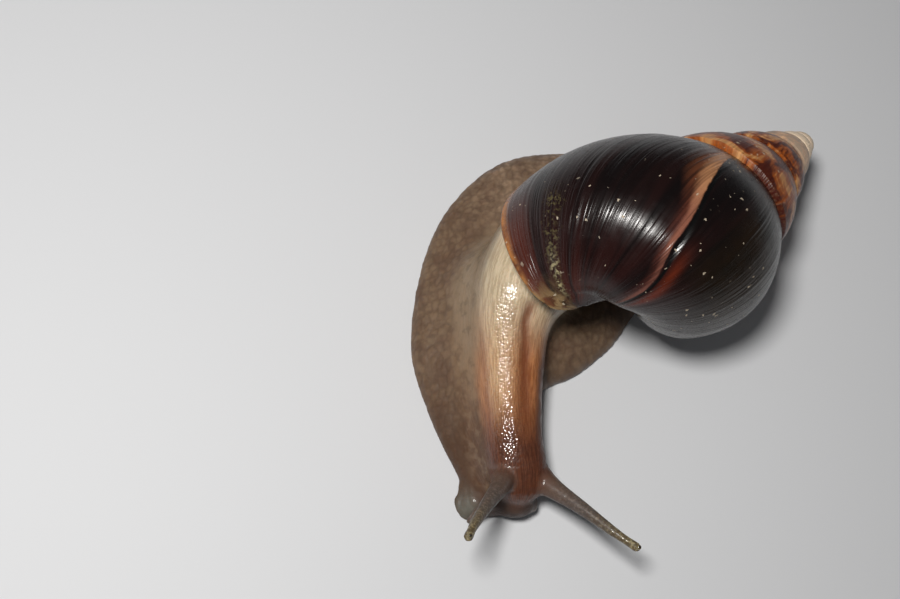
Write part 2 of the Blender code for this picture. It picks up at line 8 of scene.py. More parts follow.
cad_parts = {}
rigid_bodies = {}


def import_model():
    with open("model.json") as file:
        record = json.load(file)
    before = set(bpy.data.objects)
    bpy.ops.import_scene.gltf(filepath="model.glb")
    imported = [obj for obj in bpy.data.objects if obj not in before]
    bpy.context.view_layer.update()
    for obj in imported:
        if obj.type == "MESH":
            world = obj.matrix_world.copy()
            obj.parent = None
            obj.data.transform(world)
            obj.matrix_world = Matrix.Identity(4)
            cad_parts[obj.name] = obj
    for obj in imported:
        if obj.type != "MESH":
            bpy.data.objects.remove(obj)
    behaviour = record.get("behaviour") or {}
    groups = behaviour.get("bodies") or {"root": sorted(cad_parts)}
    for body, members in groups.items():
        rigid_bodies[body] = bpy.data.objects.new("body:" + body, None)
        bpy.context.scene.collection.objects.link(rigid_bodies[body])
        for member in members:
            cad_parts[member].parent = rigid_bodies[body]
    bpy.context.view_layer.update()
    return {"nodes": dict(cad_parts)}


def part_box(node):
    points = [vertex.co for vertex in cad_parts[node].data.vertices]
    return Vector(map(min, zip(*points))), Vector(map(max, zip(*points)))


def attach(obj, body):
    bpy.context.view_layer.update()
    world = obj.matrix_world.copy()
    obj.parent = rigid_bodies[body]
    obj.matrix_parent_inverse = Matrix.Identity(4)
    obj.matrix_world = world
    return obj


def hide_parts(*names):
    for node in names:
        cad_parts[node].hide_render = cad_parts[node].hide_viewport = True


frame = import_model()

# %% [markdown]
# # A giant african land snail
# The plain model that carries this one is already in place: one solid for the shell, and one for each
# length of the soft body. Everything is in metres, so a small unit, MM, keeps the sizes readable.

MM = 0.001


def deselect():
    for ob in bpy.context.view_layer.objects:
        ob.select_set(False)


def only(*obs):
    deselect()
    for ob in obs:
        ob.select_set(True)
    bpy.context.view_layer.objects.active = obs[0]


def points_of(ob):
    co = np.empty(len(ob.data.vertices) * 3)
    ob.data.vertices.foreach_get("co", co)
    return co.reshape(-1, 3)


def move_points(ob, co):
    ob.data.vertices.foreach_set("co", np.ascontiguousarray(co, dtype=np.float64).ravel())
    ob.data.update()


def mark(ob, name, values, domain="POINT"):
    """Stores one number per point (or per face corner) for the material to read."""
    old = ob.data.attributes.get(name)
    if old:
        ob.data.attributes.remove(old)
    layer = ob.data.attributes.new(name, "FLOAT", domain)
    layer.data.foreach_set("value", np.ascontiguousarray(values, dtype=np.float32))


def step(x, low, high):
    """0 below low, 1 above high, smooth between."""
    t = np.clip((x - low) / (high - low), 0.0, 1.0)
    return t * t * (3 - 2 * t)


def report(ob):
    tris = sum(len(p.vertices) - 2 for p in ob.data.polygons)
    print(f"{ob.name}: {tris} triangles")


# %% [markdown]
# ## Where we stand
# The animal is seen from above and a little from its right, as one looks down on it on a table. The camera
# stands 34 cm away, leaning 22 degrees from straight down, and its picture is level with the animal's own
# left and right. A camera is placed most safely by its own axes: a matrix whose columns are its right, its
# up and its backward direction.

# %% Camera
LOOK_AT = Vector((-38.572, 9.012, 0.0)) * MM
LEAN = radians(22)
TURN = radians(42)
CAMERA_AWAY = 0.340
SENSOR_MM, LENS_MM = 36.0, 57.1
back = Vector((-sin(LEAN) * sin(TURN), -sin(LEAN) * cos(TURN), cos(LEAN)))
up = (Vector((0, 1, 0)) - back * back.y).normalized()
right = up.cross(back)
lens = bpy.data.cameras.new("camera")
lens.sensor_width = SENSOR_MM
lens.lens = LENS_MM
lens.clip_start = 0.01
lens.clip_end = 10.0
camera = bpy.data.objects.new("camera", lens)
bpy.context.scene.collection.objects.link(camera)
place = Matrix((right, up, back)).transposed().to_4x4()
place.translation = LOOK_AT + back * CAMERA_AWAY
camera.matrix_world = place
bpy.context.scene.camera = camera
print("camera at, mm:", [round(c / MM) for c in camera.location])

# %% [markdown]
# ## Floor and light
# The floor is a wide pale sheet, kept plain so that nothing competes with the animal. A wet animal and a
# polished shell live on their reflections, so one small soft lamp stands close to the camera: its mirror
# image becomes the silvery patch on the last whorl and the sparkle on the neck. Two large, weaker lamps and a
# faint sky open the shadows. These two lamps are kept out of reflections, where they would veil the dark
# shell in grey.

# %% Floor, lamps and sky
FLOOR_SIZE, FLOOR_Z = 4.0, -0.02 * MM
FLOOR_GREY, FLOOR_ROUGH = (0.66, 0.67, 0.69, 1), 0.6
SKY_TONE, SKY_STRENGTH = (0.92, 0.95, 1.0, 1), 0.045
KEY_AWAY, KEY_LEFT, KEY_UP = 0.42, 0.04, 0.08
CENTRE = Vector((0.0, 0.0, 0.02))

deselect()
bpy.ops.mesh.primitive_plane_add(size=FLOOR_SIZE, location=(0, 0, FLOOR_Z))
floor = bpy.context.object
floor.name = "floor"
paper = bpy.data.materials.new("pale_floor")
paper.use_nodes = True
paper.node_tree.nodes["Principled BSDF"].inputs["Base Color"].default_value = FLOOR_GREY
paper.node_tree.nodes["Principled BSDF"].inputs["Roughness"].default_value = FLOOR_ROUGH
floor.data.materials.append(paper)


def lamp(name, where, size, watts, colour=(1, 1, 1), mirrored=False):
    """A round soft lamp aimed at the animal; only a mirrored one shows in reflections."""
    data = bpy.data.lights.new(name, "AREA")
    data.shape = "DISK"
    data.size = size
    data.energy = watts
    data.color = colour
    ob = bpy.data.objects.new(name, data)
    bpy.context.scene.collection.objects.link(ob)
    ob.location = where
    ob.rotation_euler = (Vector(where) - CENTRE).to_track_quat("Z", "Y").to_euler()
    ob.visible_glossy = mirrored


key_at = LOOK_AT + back * KEY_AWAY - right * KEY_LEFT + up * KEY_UP
lamp("key", key_at, size=0.075, watts=1.75, colour=(1.0, 0.98, 0.95), mirrored=True)
lamp("left_fill", (-0.55, -0.25, 0.45), size=1.0, watts=0.35, colour=(0.95, 0.97, 1.0))
lamp("right_fill", (0.5, 0.35, 0.5), size=1.0, watts=0.2)
world = bpy.data.worlds.new("sky")
bpy.context.scene.world = world
world.use_nodes = True
world.node_tree.nodes["Background"].inputs["Color"].default_value = SKY_TONE
world.node_tree.nodes["Background"].inputs["Strength"].default_value = SKY_STRENGTH
bpy.context.scene.view_settings.view_transform = "Standard"

# %% [markdown]
# ## The growth of a shell
# A snail adds to its shell only at the lip, always the same shape and always a little larger, while it turns
# about one axis. So the whole surface follows one rule: take the outline of the lip, turn it about the axis,
# and scale it towards the apex by the same share in every turn. We write that rule once, and use it for the
# last whorl, the spire and the mouth. The outline itself is a smooth curve through six points: the suture,
# the shoulder, the widest place, the belly, the base and the foot of the inner pillar.

# %% The rule of growth
HEIGHT = 93.7 * MM
GROWTH = 1.603
OUTLINE = np.array(((0.206, 0.438), (0.2869, 0.5618), (0.325, 0.825), (0.27625, 0.923),
                    (0.057, 1.0), (0.027, 0.75)))
PILLAR_TIP = 0.90
PILLAR_R = 0.019
LIP_LEAN, LIP_BOW, LIP_REACH = radians(-39.0), radians(7.5), radians(3.5)
LIP_FLARE, FLARE_SPAN = 0.03, radians(16.0)
BELLY_TUCK, BASE_DROP = 1.7 * MM / HEIGHT, 2.1 * MM / HEIGHT
SPIRE_SWELL, SPIRE_PUSH = 1.0 * MM, 1.0 * MM
SPIRE_LEAN = np.array((-0.04, 0.48, 0.13)) * MM
APEX = np.array((86.6, 41.8, 21.6)) * MM + np.array(LOOK_AT)
AXIS_AZIMUTH, AXIS_RISE, AXIS_ROLL = radians(38.0), radians(7.8), radians(-254.0)

axis = np.array((-cos(AXIS_RISE) * cos(AXIS_AZIMUTH), -cos(AXIS_RISE) * sin(AXIS_AZIMUTH), sin(AXIS_RISE)))
level = np.array((0.0, 0.0, 1.0)) - axis * axis[2]
level /= np.linalg.norm(level)
spoke_a = cos(AXIS_ROLL) * level + sin(AXIS_ROLL) * np.cross(axis, level)
spoke_b = np.cross(axis, spoke_a)
chord = np.concatenate([[0.0], np.cumsum(np.hypot(*np.diff(OUTLINE, axis=0).T))])
chord /= chord[-1]


def smooth_curve(x, y):
    """Natural cubic spline through the points (x, y); returns a function of x."""
    n = len(x)
    h = np.diff(x)
    a = np.eye(n)
    b = np.zeros((n, y.shape[1]))
    for i in range(1, n - 1):
        a[i, i - 1:i + 2] = h[i - 1], 2 * (h[i - 1] + h[i]), h[i]
        b[i] = 6 * ((y[i + 1] - y[i]) / h[i] - (y[i] - y[i - 1]) / h[i - 1])
    m = np.linalg.solve(a, b)

    def at(t):
        i = np.clip(np.searchsorted(x, t) - 1, 0, n - 2)
        d = h[i]
        p = ((x[i + 1] - t) / d)[..., None]
        q = ((t - x[i]) / d)[..., None]
        d = d[..., None]
        return p * y[i] + q * y[i + 1] + ((p ** 3 - p) * m[i] + (q ** 3 - q) * m[i + 1]) * d * d / 6
    return at


outline = smooth_curve(chord, OUTLINE)
BASE_T = chord[4]
fine = np.linspace(0, BASE_T, 2000)
SUTURE_T = fine[np.argmin(np.hypot(*(outline(fine) - GROWTH * OUTLINE[0]).T))]


def scale_at(turn):
    return GROWTH ** (turn / (2 * pi))


def lip_angle(t):
    return LIP_LEAN * t + LIP_BOW * 4 * t * (1 - t) + LIP_REACH * np.minimum(1.0, t / SUTURE_T)


def place_on_shell(turn, r, z):
    """Points in space; the older whorls are a little fuller and the apex stands out."""
    full = step(-turn / (2 * pi), 0.75, 1.35)[..., None]
    push = step(-turn / (2 * pi), 1.0, 4.0)[..., None]
    radial = np.cos(turn)[..., None] * spoke_a + np.sin(turn)[..., None] * spoke_b
    outwards = radial * (HEIGHT * r[..., None] + SPIRE_SWELL * full)
    onwards = axis * (HEIGHT * z[..., None] - SPIRE_PUSH * push)
    return APEX + (outwards + onwards) + SPIRE_LEAN * full


print("one turn grows", GROWTH, "times; the suture lies at", round(float(SUTURE_T), 3), "of the outline")

# %% [markdown]
# A real shell isn't as even as the rule. Growth stops and starts again, and each stop leaves a low step that
# runs along the old lip; the suture is a little sunk, with the whorl below it puckered where it was fastened
# on. These are shapes one can feel with a nail, so they belong in the mesh and not only in the material. The
# steps are written as a sum of waves of unlike length, which never repeats and needs no random numbers.

# %% Steps of growth
RIDGE = 0.0009
SUTURE_SINK = 0.0055
OLD_LIP_AGE = 0.2405
OLD_LIP_SLANT = 0.107
OLD_LIP_BEND, OLD_LIP_BENDS = 0.016, (0.48, 0.62)


def along_old_lip(turns, t):
    """A number that stays the same all along an old lip, for its slant and its one bend."""
    return turns + OLD_LIP_SLANT * t + OLD_LIP_BEND * step(t, *OLD_LIP_BENDS)


def growth_steps(turns, t):
    """Height of the growth steps, about -1 to 1, as a function of age and place on the outline."""
    x = turns * 2 * pi + 0.03 * np.sin(5 * t + 7 * turns)
    h = 0.30 * np.sin(41 * x + 2.1 * np.sin(3.1 * x)) + 0.34 * np.sin(97 * x + 1.3 * np.sin(7.7 * x + 4 * t))
    h = h + 0.30 * np.sin(127 * x + 2.4 * np.sin(11 * x))
    pulse = np.sin(11.3 * x + 1.7 * np.sin(2.3 * x))
    h = h * (0.6 + 0.4 * np.sin(3.7 * x + 1.0)) + 1.0 * np.exp(-((pulse - 1) / 0.03) ** 2)
    old_lip = along_old_lip(turns + OLD_LIP_AGE, t)
    return h + 2.8 * np.exp(-(old_lip / 0.0035) ** 2) - 2.3 * np.exp(-((old_lip - 0.006) / 0.0035) ** 2)


def shell_section(turn, t, turns):
    """(r, z) of the outside at an angle, with the sunk suture and the growth steps."""
    rz = outline(t)
    s = scale_at(turn)
    sink = SUTURE_SINK * np.exp(-(t / 0.022) ** 2)
    near = np.clip(1 + (turn - lip_angle(t)) / FLARE_SPAN, 0.0, 1.0)
    open_out = LIP_FLARE * near ** 2 * np.clip((t - 0.25) / 0.3, 0, 1) * np.clip((1.02 - t) / 0.2, 0, 1)
    calm = np.clip(t / 0.04, 0, 1) * np.clip((BASE_T + 0.02 - t) / 0.12, 0, 1)
    calm = calm * step(turn, -radians(900), -radians(300))
    r = (rz[..., 0] - sink) * (1 + open_out) + RIDGE * growth_steps(turns, t) * calm
    back_turns = (lip_angle(t) - turn) / (2 * pi)
    tuck = BELLY_TUCK * np.exp(-((back_turns - 0.49) / 0.13) ** 2 - ((t - 0.48) / 0.16) ** 2)
    drop = BASE_DROP * np.exp(-((back_turns - 0.33) / 0.10) ** 2 - ((t - 0.69) / 0.09) ** 2)
    return r * s - tuck, rz[..., 1] * s + drop


print("an old lip lies", OLD_LIP_AGE, "turns back")


# %% [markdown]
# ## Three sheets
# Each part of the surface is a grid: a grid primitive is added with as many cells as we want, and its points
# are then carried over to the shell by the rule. A grid keeps its own map of which cell is where, and we
# rewrite that map as age (in turns, 0 at the lip and more negative towards the apex) and place on the
# outline. The material can then paint along the growth lines. The grids meet point on point, so merging
# closes them.

# %% Grid and map
COLUMNS = 480
SPIRE_TURNS = 5
ROWS_UPPER, ROWS_LOWER, ROWS_PILLAR = 18, 58, 8
upper_rows = SUTURE_T * (0.5 - 0.5 * np.cos(pi * np.arange(ROWS_UPPER + 1) / ROWS_UPPER))
lower_rows = SUTURE_T + (BASE_T - SUTURE_T) * np.arange(1, ROWS_LOWER + 1) / ROWS_LOWER
outside_rows = np.concatenate([upper_rows, lower_rows])


def grid_sheet(name, columns, rows):
    """A grid object and, for each of its points, its column and row."""
    deselect()
    bpy.ops.mesh.primitive_grid_add(x_subdivisions=columns, y_subdivisions=rows, size=2, calc_uvs=True)
    ob = bpy.context.object
    ob.name = name
    co = points_of(ob)
    col = np.rint((co[:, 0] + 1) / 2 * columns).astype(int)
    row = np.rint((co[:, 1] + 1) / 2 * rows).astype(int)
    return ob, col, row


def write_map(ob, columns, rows, age, across):
    """Rewrites the grid's own map: age and place on the outline for each face corner."""
    uv = ob.data.uv_layers[0]
    flat = np.empty(len(uv.data) * 2)
    uv.data.foreach_get("uv", flat)
    flat = flat.reshape(-1, 2)
    c = np.rint(flat[:, 0] * columns).astype(int)
    r = np.rint(flat[:, 1] * rows).astype(int)
    flat = np.stack([age[c, r], across[c, r]], axis=1)
    uv.data.foreach_set("uv", flat.ravel())
    uv.name = "growth"


def outside_point(turn, row, age):
    """Points on the outside or down the inner pillar, for rows of the last whorl."""
    last = ROWS_UPPER + ROWS_LOWER
    t = outside_rows[np.minimum(row, last)]
    r, z = shell_section(turn, t, age)
    g = np.clip((row - last) / ROWS_PILLAR, 0, 1)
    inner = np.maximum(r * (1 - g), PILLAR_R * np.minimum(1.0, 2.2 * (1 - g)))
    r = np.where(row > last, inner, r)
    z = z + (PILLAR_TIP - z) * g * g
    return r, z


print("rows of the outside:", len(outside_rows))


# %% [markdown]
# The last whorl is by far the largest sheet. Its upper edge is the suture. Its far edge is the lip, which
# leans back towards the base, and its first column is the wall that the mouth opens against.

# %% Last whorl
rows = ROWS_UPPER + ROWS_LOWER + ROWS_PILLAR
whorl, col, row = grid_sheet("shell_skin", COLUMNS, rows)
col_all, row_all = np.meshgrid(np.arange(COLUMNS + 1), np.arange(rows + 1), indexing="ij")
t_all = outside_rows[np.minimum(row_all, ROWS_UPPER + ROWS_LOWER)]
turn_all = -2 * pi + col_all / COLUMNS * (lip_angle(t_all) + 2 * pi)
age_all = (turn_all - lip_angle(t_all)) / (2 * pi)
r_all, z_all = outside_point(turn_all, row_all, age_all)
move_points(whorl, place_on_shell(turn_all, r_all, z_all)[col, row])
down_pillar = np.clip((row_all - ROWS_UPPER - ROWS_LOWER) / ROWS_PILLAR, 0, 1)
write_map(whorl, COLUMNS, rows, age_all, t_all + 0.1 * down_pillar)
report(whorl)

# %% [markdown]
# The spire is one long ribbon, wound five times. Its lower edge must be exactly the upper edge of the turn
# after it, so that edge is computed as if it belonged to the next turn.

# %% Spire
long = COLUMNS * SPIRE_TURNS
ribbon, col, row = grid_sheet("spire_ribbon", long, ROWS_UPPER)
col_long, row_long = np.meshgrid(np.arange(long + 1), np.arange(ROWS_UPPER + 1), indexing="ij")
turn_long = -2 * pi * (SPIRE_TURNS + 1) + 2 * pi * col_long / COLUMNS
t_long = upper_rows[row_long]
age_long = (turn_long - lip_angle(t_long)) / (2 * pi)
edge = row_long == ROWS_UPPER
turn_next = np.where(edge, turn_long + 2 * pi, turn_long)
t_next = np.where(edge, 0.0, t_long)
r_next, z_next = shell_section(turn_next, t_next, np.where(edge, turn_next / (2 * pi), age_long))
move_points(ribbon, place_on_shell(turn_next, r_next, z_next)[col, row])
write_map(ribbon, long, ROWS_UPPER, age_long, t_long)
report(ribbon)

# %% [markdown]
# The mouth: from the lip a sheet turns inwards, first over the lip's thickness, then back into the whorl,
# and comes forward again to the wall. Only its rim shows past the flesh, but the rim decides whether the
# shell looks thick and heavy or thin as a sheet of paper.

# %% Mouth
DEPTHS = ((0.0, 0.0), (0.012, -0.006), (0.03, -0.004), (0.045, 0.02), (0.055, 0.3), (0.09, 0.8), (0.16, 1.0),
          (0.3, 1.0), (0.46, 1.0), (0.6, 0.9), (0.74, 0.7), (0.88, 0.35), (1.0, 0.0))
MOUTH_DEPTH = radians(16)
mouth, col, row = grid_sheet("mouth_lining", rows, len(DEPTHS) - 1)
j = np.arange(rows + 1)
lip_turn, lip_r, lip_z = turn_all[-1, j], r_all[-1, j], z_all[-1, j]
w = np.maximum(j, ROWS_UPPER)
wall_r, wall_z = r_all[0, w].copy(), z_all[0, w].copy()
wall_r[:ROWS_UPPER + 1], wall_z[:ROWS_UPPER + 1] = r_all[-1, 0], z_all[-1, 0]
wall_turn = np.zeros(rows + 1)
wall_turn[-1] = lip_turn[-1]
share = np.array([d[0] for d in DEPTHS])[None, :]
depth = np.array([d[1] for d in DEPTHS])[None, :]
room = np.minimum(1.0, 2.5 * np.hypot(lip_r - wall_r, lip_z - wall_z) / 0.3)[:, None]
going_in = MOUTH_DEPTH * depth * room
turn_in = lip_turn[:, None] * (1 - share) + wall_turn[:, None] * share - going_in
r_in = (lip_r[:, None] * (1 - share) + wall_r[:, None] * share) * scale_at(-going_in)
z_in = (lip_z[:, None] * (1 - share) + wall_z[:, None] * share) * scale_at(-going_in)
move_points(mouth, place_on_shell(turn_in, r_in, z_in)[col, row])
age_in = 1.0 + np.repeat(share, rows + 1, axis=0)
t_in = np.repeat(t_all[-1][:, None], len(DEPTHS), axis=1)
write_map(mouth, rows, len(DEPTHS) - 1, age_in, t_in)
report(mouth)

# %% [markdown]
# Now the sheets become one. Joining and merging closes the seams. The hole that is left at the apex is
# filled with one face, which is poked out to a low cone, and smoothing rounds it to a dome: the blunt first
# whorl that a snail hatches with.

# %% Close the shell
APEX_HIGH = 0.9 * MM
APEX_SPAN = 1.9 * MM
APEX_ROUNDS = 40
SEAM = 0.002 * MM
only(whorl, ribbon, mouth)
bpy.ops.object.join()
shell = bpy.context.object
shell.name = "shell_skin"
bpy.ops.object.mode_set(mode="EDIT")
bpy.ops.mesh.select_all(action="SELECT")
bpy.ops.mesh.remove_doubles(threshold=SEAM)
bpy.ops.mesh.select_all(action="DESELECT")
bpy.ops.mesh.select_mode(type="EDGE")
bpy.ops.mesh.select_non_manifold(extend=False, use_wire=False, use_multi_face=False,
                                 use_non_contiguous=False, use_verts=False)
bpy.ops.mesh.edge_face_add()
bpy.ops.mesh.select_mode(type="FACE")
bpy.ops.mesh.select_all(action="SELECT")
bpy.ops.mesh.normals_make_consistent(inside=False)
bpy.ops.object.mode_set(mode="OBJECT")
for face in shell.data.polygons:
    face.select = len(face.vertices) > 4
bpy.ops.object.mode_set(mode="EDIT")
bpy.ops.mesh.poke(offset=APEX_HIGH)
bpy.ops.object.mode_set(mode="OBJECT")
tip = np.mean([v.co[:] for v in shell.data.vertices if v.select], axis=0)
for v in shell.data.vertices:
    v.select = bool(np.linalg.norm(np.array(v.co) - tip) < APEX_SPAN)
bpy.ops.object.mode_set(mode="EDIT")
bpy.ops.mesh.select_mode(type="VERT")
bpy.ops.mesh.vertices_smooth(factor=0.5, repeat=APEX_ROUNDS)
bpy.ops.object.mode_set(mode="OBJECT")
bpy.ops.object.shade_smooth()
check = bmesh.new()
check.from_mesh(shell.data)
print("open edges:", sum(1 for e in check.edges if len(e.link_faces) != 2))
check.free()
report(shell)

# %% [markdown]
# ## A map of the body
# Skin pattern follows the animal, not the room: on the neck it runs lengthwise, on the foot it is a net of
# warts. So any point of the skin must know where it is: how far along the neck, at which angle round it, and
# how far out. The neck is described by the same line and widths as the plain model. The line is drawn as a
# smooth curve through a dozen stations, and each point looks up the nearest place on it.

# %% Lines through the body
NECK_LINE = ((25.5, 14.5, 33.0), (22.5, 11.5, 28.0), (18.0, 6.5, 21.5), (12.2, -0.8, 17.0),
             (10.0, -8.8, 14.6), (10.2, -17.5, 12.6), (10.6, -26.3, 11.2), (11.4, -35.0, 10.2),
             (12.6, -41.2, 9.6), (13.3, -44.8, 9.0), (13.6, -47.2, 8.2), (13.7, -48.5, 7.6))
NECK_WIDE = (10.5, 13.0, 13.6, 11.2, 9.3, 8.2, 7.5, 7.0, 7.1, 6.6, 4.8, 2.4)
NECK_HIGH = (9.5, 11.5, 12.2, 11.2, 9.8, 8.9, 8.3, 7.8, 7.2, 6.2, 4.6, 2.4)
SPAN_POINTS = 10


def along(points):
    """Smooth run through the given points, in metres, with SPAN_POINTS points to each span."""
    p = np.array(points) * MM + np.array(LOOK_AT)
    e = np.vstack([2 * p[0] - p[1], p, 2 * p[-1] - p[-2]])
    out = []
    for i in range(len(p) - 1):
        a, b, c, d = e[i:i + 4]
        for t in np.arange(SPAN_POINTS) / SPAN_POINTS:
            bend = 2 * a - 5 * b + 4 * c - d + t * (3 * b - a - 3 * c + d)
            out.append(b + 0.5 * t * (c - a + t * bend))
    out.append(p[-1])
    return np.array(out)


def nearest(co, line):
    """For each point of co, the index of and distance to the nearest point of a line."""
    best = np.full(len(co), 1e9)
    which = np.zeros(len(co), int)
    for i, p in enumerate(line):
        d = np.einsum("ij,ij->i", co - p, co - p)
        closer = d < best
        best[closer] = d[closer]
        which[closer] = i
    return which, np.sqrt(best)


def neck_place(co):
    """Length along the neck in mm, angle round it (0 its right, pi/2 its back), share of its radius, and
    the whole length."""
    line = along(NECK_LINE)
    tangent = np.gradient(line, axis=0)
    tangent /= np.linalg.norm(tangent, axis=1)[:, None]
    side = np.cross(tangent, (0, 0, 1.0))
    side /= np.linalg.norm(side, axis=1)[:, None]
    top = np.cross(side, tangent)
    stations = np.linspace(0, 1, len(NECK_WIDE))
    wide = np.interp(np.linspace(0, 1, len(line)), stations, NECK_WIDE) * MM
    high = np.interp(np.linspace(0, 1, len(line)), stations, NECK_HIGH) * MM
    length = np.concatenate([[0], np.cumsum(np.linalg.norm(np.diff(line, axis=0), axis=1))]) / MM
    i, _ = nearest(co, line)
    off = co - line[i]
    x = np.einsum("ij,ij->i", off, side[i]) / wide[i]
    y = np.einsum("ij,ij->i", off, top[i]) / high[i]
    ahead = np.einsum("ij,ij->i", off, tangent[i]) / MM
    angle = np.arctan2(y, x)
    angle = np.where(angle < -pi / 2, angle + 2 * pi, angle)
    return length[i] + ahead, angle, np.hypot(x, y), length[-1]


print("neck line, points:", len(along(NECK_LINE)))

# %% [markdown]
# ## One soft body
# A snail has no seams: foot, neck, head and feelers are one wet skin over muscle. The plain model is cut into
# lengths, so we take copies of those lengths, swell them until they overlap, and let a voxel remesh wrap the
# whole as one surface. Remeshing is made for this: it forgets how the shape was built and keeps only its
# outside. Soft lumps, balls stretched to size, fill out what lies between the lengths.

# %% Tools for soft flesh
LENGTHS = ("head", "neck", "trunk", "mantle_collar", "foot_front", "foot_middle", "foot_rear", "tail")
SMALLEST_SHARE = 0.02
NODE_SEAM = 0.001 * MM


def copy_of_node(name):
    """A merged copy of one length of the plain model."""
    twin = bpy.data.objects.new(name + "_copy", frame["nodes"][name].data.copy())
    bpy.context.scene.collection.objects.link(twin)
    only(twin)
    bpy.ops.object.mode_set(mode="EDIT")
    bpy.ops.mesh.select_all(action="SELECT")
    bpy.ops.mesh.remove_doubles(threshold=NODE_SEAM)
    bpy.ops.object.mode_set(mode="OBJECT")
    return twin


def apply_modifier(ob, kind, **settings):
    only(ob)
    mod = ob.modifiers.new(kind.lower(), kind)
    for key, value in settings.items():
        setattr(mod, key, value)
    bpy.ops.object.modifier_apply(modifier=mod.name)


def ball(name, where, size, turn=0.0):
    """A lump in mm, stretched to size (its three half-widths) and turned about the vertical."""
    deselect()
    place = Vector(where) * MM + LOOK_AT
    bpy.ops.mesh.primitive_uv_sphere_add(segments=48, ring_count=24, radius=MM, location=place,
                                         rotation=(0, 0, radians(turn)))
    ob = bpy.context.object
    ob.name = name
    ob.scale = size
    bpy.ops.object.transform_apply(location=True, rotation=True, scale=True)
    return ob


def smooth_where(ob, name, share, rounds):
    """Smooths a mesh by the share given for each point, by way of a group of its points."""
    group = ob.vertex_groups.new(name=name)
    for index in np.flatnonzero(share > SMALLEST_SHARE):
        group.add([int(index)], float(share[index]), "REPLACE")
    apply_modifier(ob, "SMOOTH", factor=0.5, iterations=rounds, vertex_group=name)
    print("smoothed", name, "points:", int((share > SMALLEST_SHARE).sum()))


print("lengths of flesh to wrap:", len(LENGTHS))

# %% [markdown]
# Two lumps fill the flank and the shoulder, where the neck rises from the foot. Smoothing after the remesh
# rounds the whole, and a second, stronger smoothing, held to a group of points, fills the crease where the
# neck stands on the foot, because there the living flesh runs over without a fold.

# %% Wrap the body
SWELL = 0.30 * MM
BODY_CELL = 0.75 * MM
BODY_ROUNDS, CREASE_ROUNDS = 10, 220

pieces = [copy_of_node(name) for name in LENGTHS]
for piece in pieces:
    apply_modifier(piece, "DISPLACE", strength=SWELL, mid_level=0.0)
pieces.append(ball("flank", (3.6, -14.0, 6.5), (5.8, 16.0, 5.6), 4))
pieces.append(ball("shoulder", (5.5, 1.5, 6.5), (7.6, 12.0, 7.6), -22))
only(*pieces)
bpy.ops.object.join()
body = bpy.context.object
body.name = "skin"
body.data.materials.clear()
apply_modifier(body, "REMESH", mode="VOXEL", voxel_size=BODY_CELL)
apply_modifier(body, "SMOOTH", factor=0.5, iterations=BODY_ROUNDS)
co = points_of(body)
length, angle, radius, _ = neck_place(co)
crease = step(radius, 0.78, 1.0) * (1 - step(radius, 1.7, 2.5)) * step(length, 6, 14)
crease = crease * step(co[:, 2], 2 * MM, 5 * MM) * (1 - step(np.abs(angle - 0.5 * pi), 1.3, 1.0))
smooth_where(body, "crease", crease, CREASE_ROUNDS)
report(body)

# %% [markdown]
# ## Feelers
# A feeler is a hollow muscle that the snail can pull in like the finger of a glove, so it is round, tapers,
# and ends in a small bulb. That is a curve with a thickness that changes along it. It starts inside the head
# and is thick there, so that the remesh flows it into the forehead as a cone.

# %% Feelers
UPPER_RIGHT = ((12.4, -39.6, 8.6), (9.6, -42.8, 11.6), (6.9, -46.8, 16.6), (2.2, -51.6, 23.0),
               (-2.5, -56.7, 29.4), (-5.0, -60.0, 33.0))
UPPER_LEFT = ((14.6, -40.4, 8.8), (17.4, -43.6, 11.3), (20.6, -46.8, 14.2), (25.6, -51.3, 18.0),
              (31.0, -56.4, 21.6), (35.4, -60.0, 24.0))
LOWER_RIGHT = ((10.4, -45.4, 6.4), (7.0, -49.2, 6.4), (4.4, -51.8, 6.0), (2.9, -53.3, 5.6))
LOWER_LEFT = ((16.0, -44.8, 6.0), (17.2, -47.0, 5.6), (17.9, -48.5, 5.1), (18.3, -49.4, 4.8))
UPPER_RADII = (5.2, 4.5, 3.65, 2.9, 2.3, 1.9, 1.62, 1.38, 1.18, 1.02, 0.94)
LOWER_RIGHT_RADII = (2.2, 1.8, 1.35, 1.05)
LOWER_LEFT_RADII = (2.2, 1.95, 1.75, 1.5)
BULB, BULB_SHARE = 1.12, 0.05
ROUND_END = ((0.35, 0.94), (0.65, 0.76), (0.87, 0.49), (0.97, 0.2))


def feeler(name, points, radii, bulb=0.0):
    """A tapering tube with a rounded end; returns it and its centre line."""
    line = along(points)
    share = np.linspace(0, 1, len(line))
    rad = np.interp(share, np.linspace(0, 1, len(radii)), radii)
    if bulb:
        rad = rad + (bulb - rad) * np.exp(-((share - 1.0) / BULB_SHARE) ** 2)
    end = line[-1] - line[-2]
    end /= np.linalg.norm(end)
    line = np.vstack([line] + [line[-1] + end * rad[-1] * MM * past for past, _ in ROUND_END])
    rad = np.concatenate([rad, [rad[-1] * left for _, left in ROUND_END]])
    curve = bpy.data.curves.new(name, "CURVE")
    curve.dimensions = "3D"
    curve.bevel_depth = MM
    curve.bevel_resolution = 5
    curve.use_fill_caps = True
    run = curve.splines.new("POLY")
    run.points.add(len(line) - 1)
    for point, place, r in zip(run.points, line, rad):
        point.co = (*place, 1.0)
        point.radius = r
    ob = bpy.data.objects.new(name, curve)
    bpy.context.scene.collection.objects.link(ob)
    only(ob)
    bpy.ops.object.convert(target="MESH")
    print(name, "length mm:", round(float(np.linalg.norm(np.diff(line, axis=0), axis=1).sum() / MM), 1))
    return bpy.context.object, line


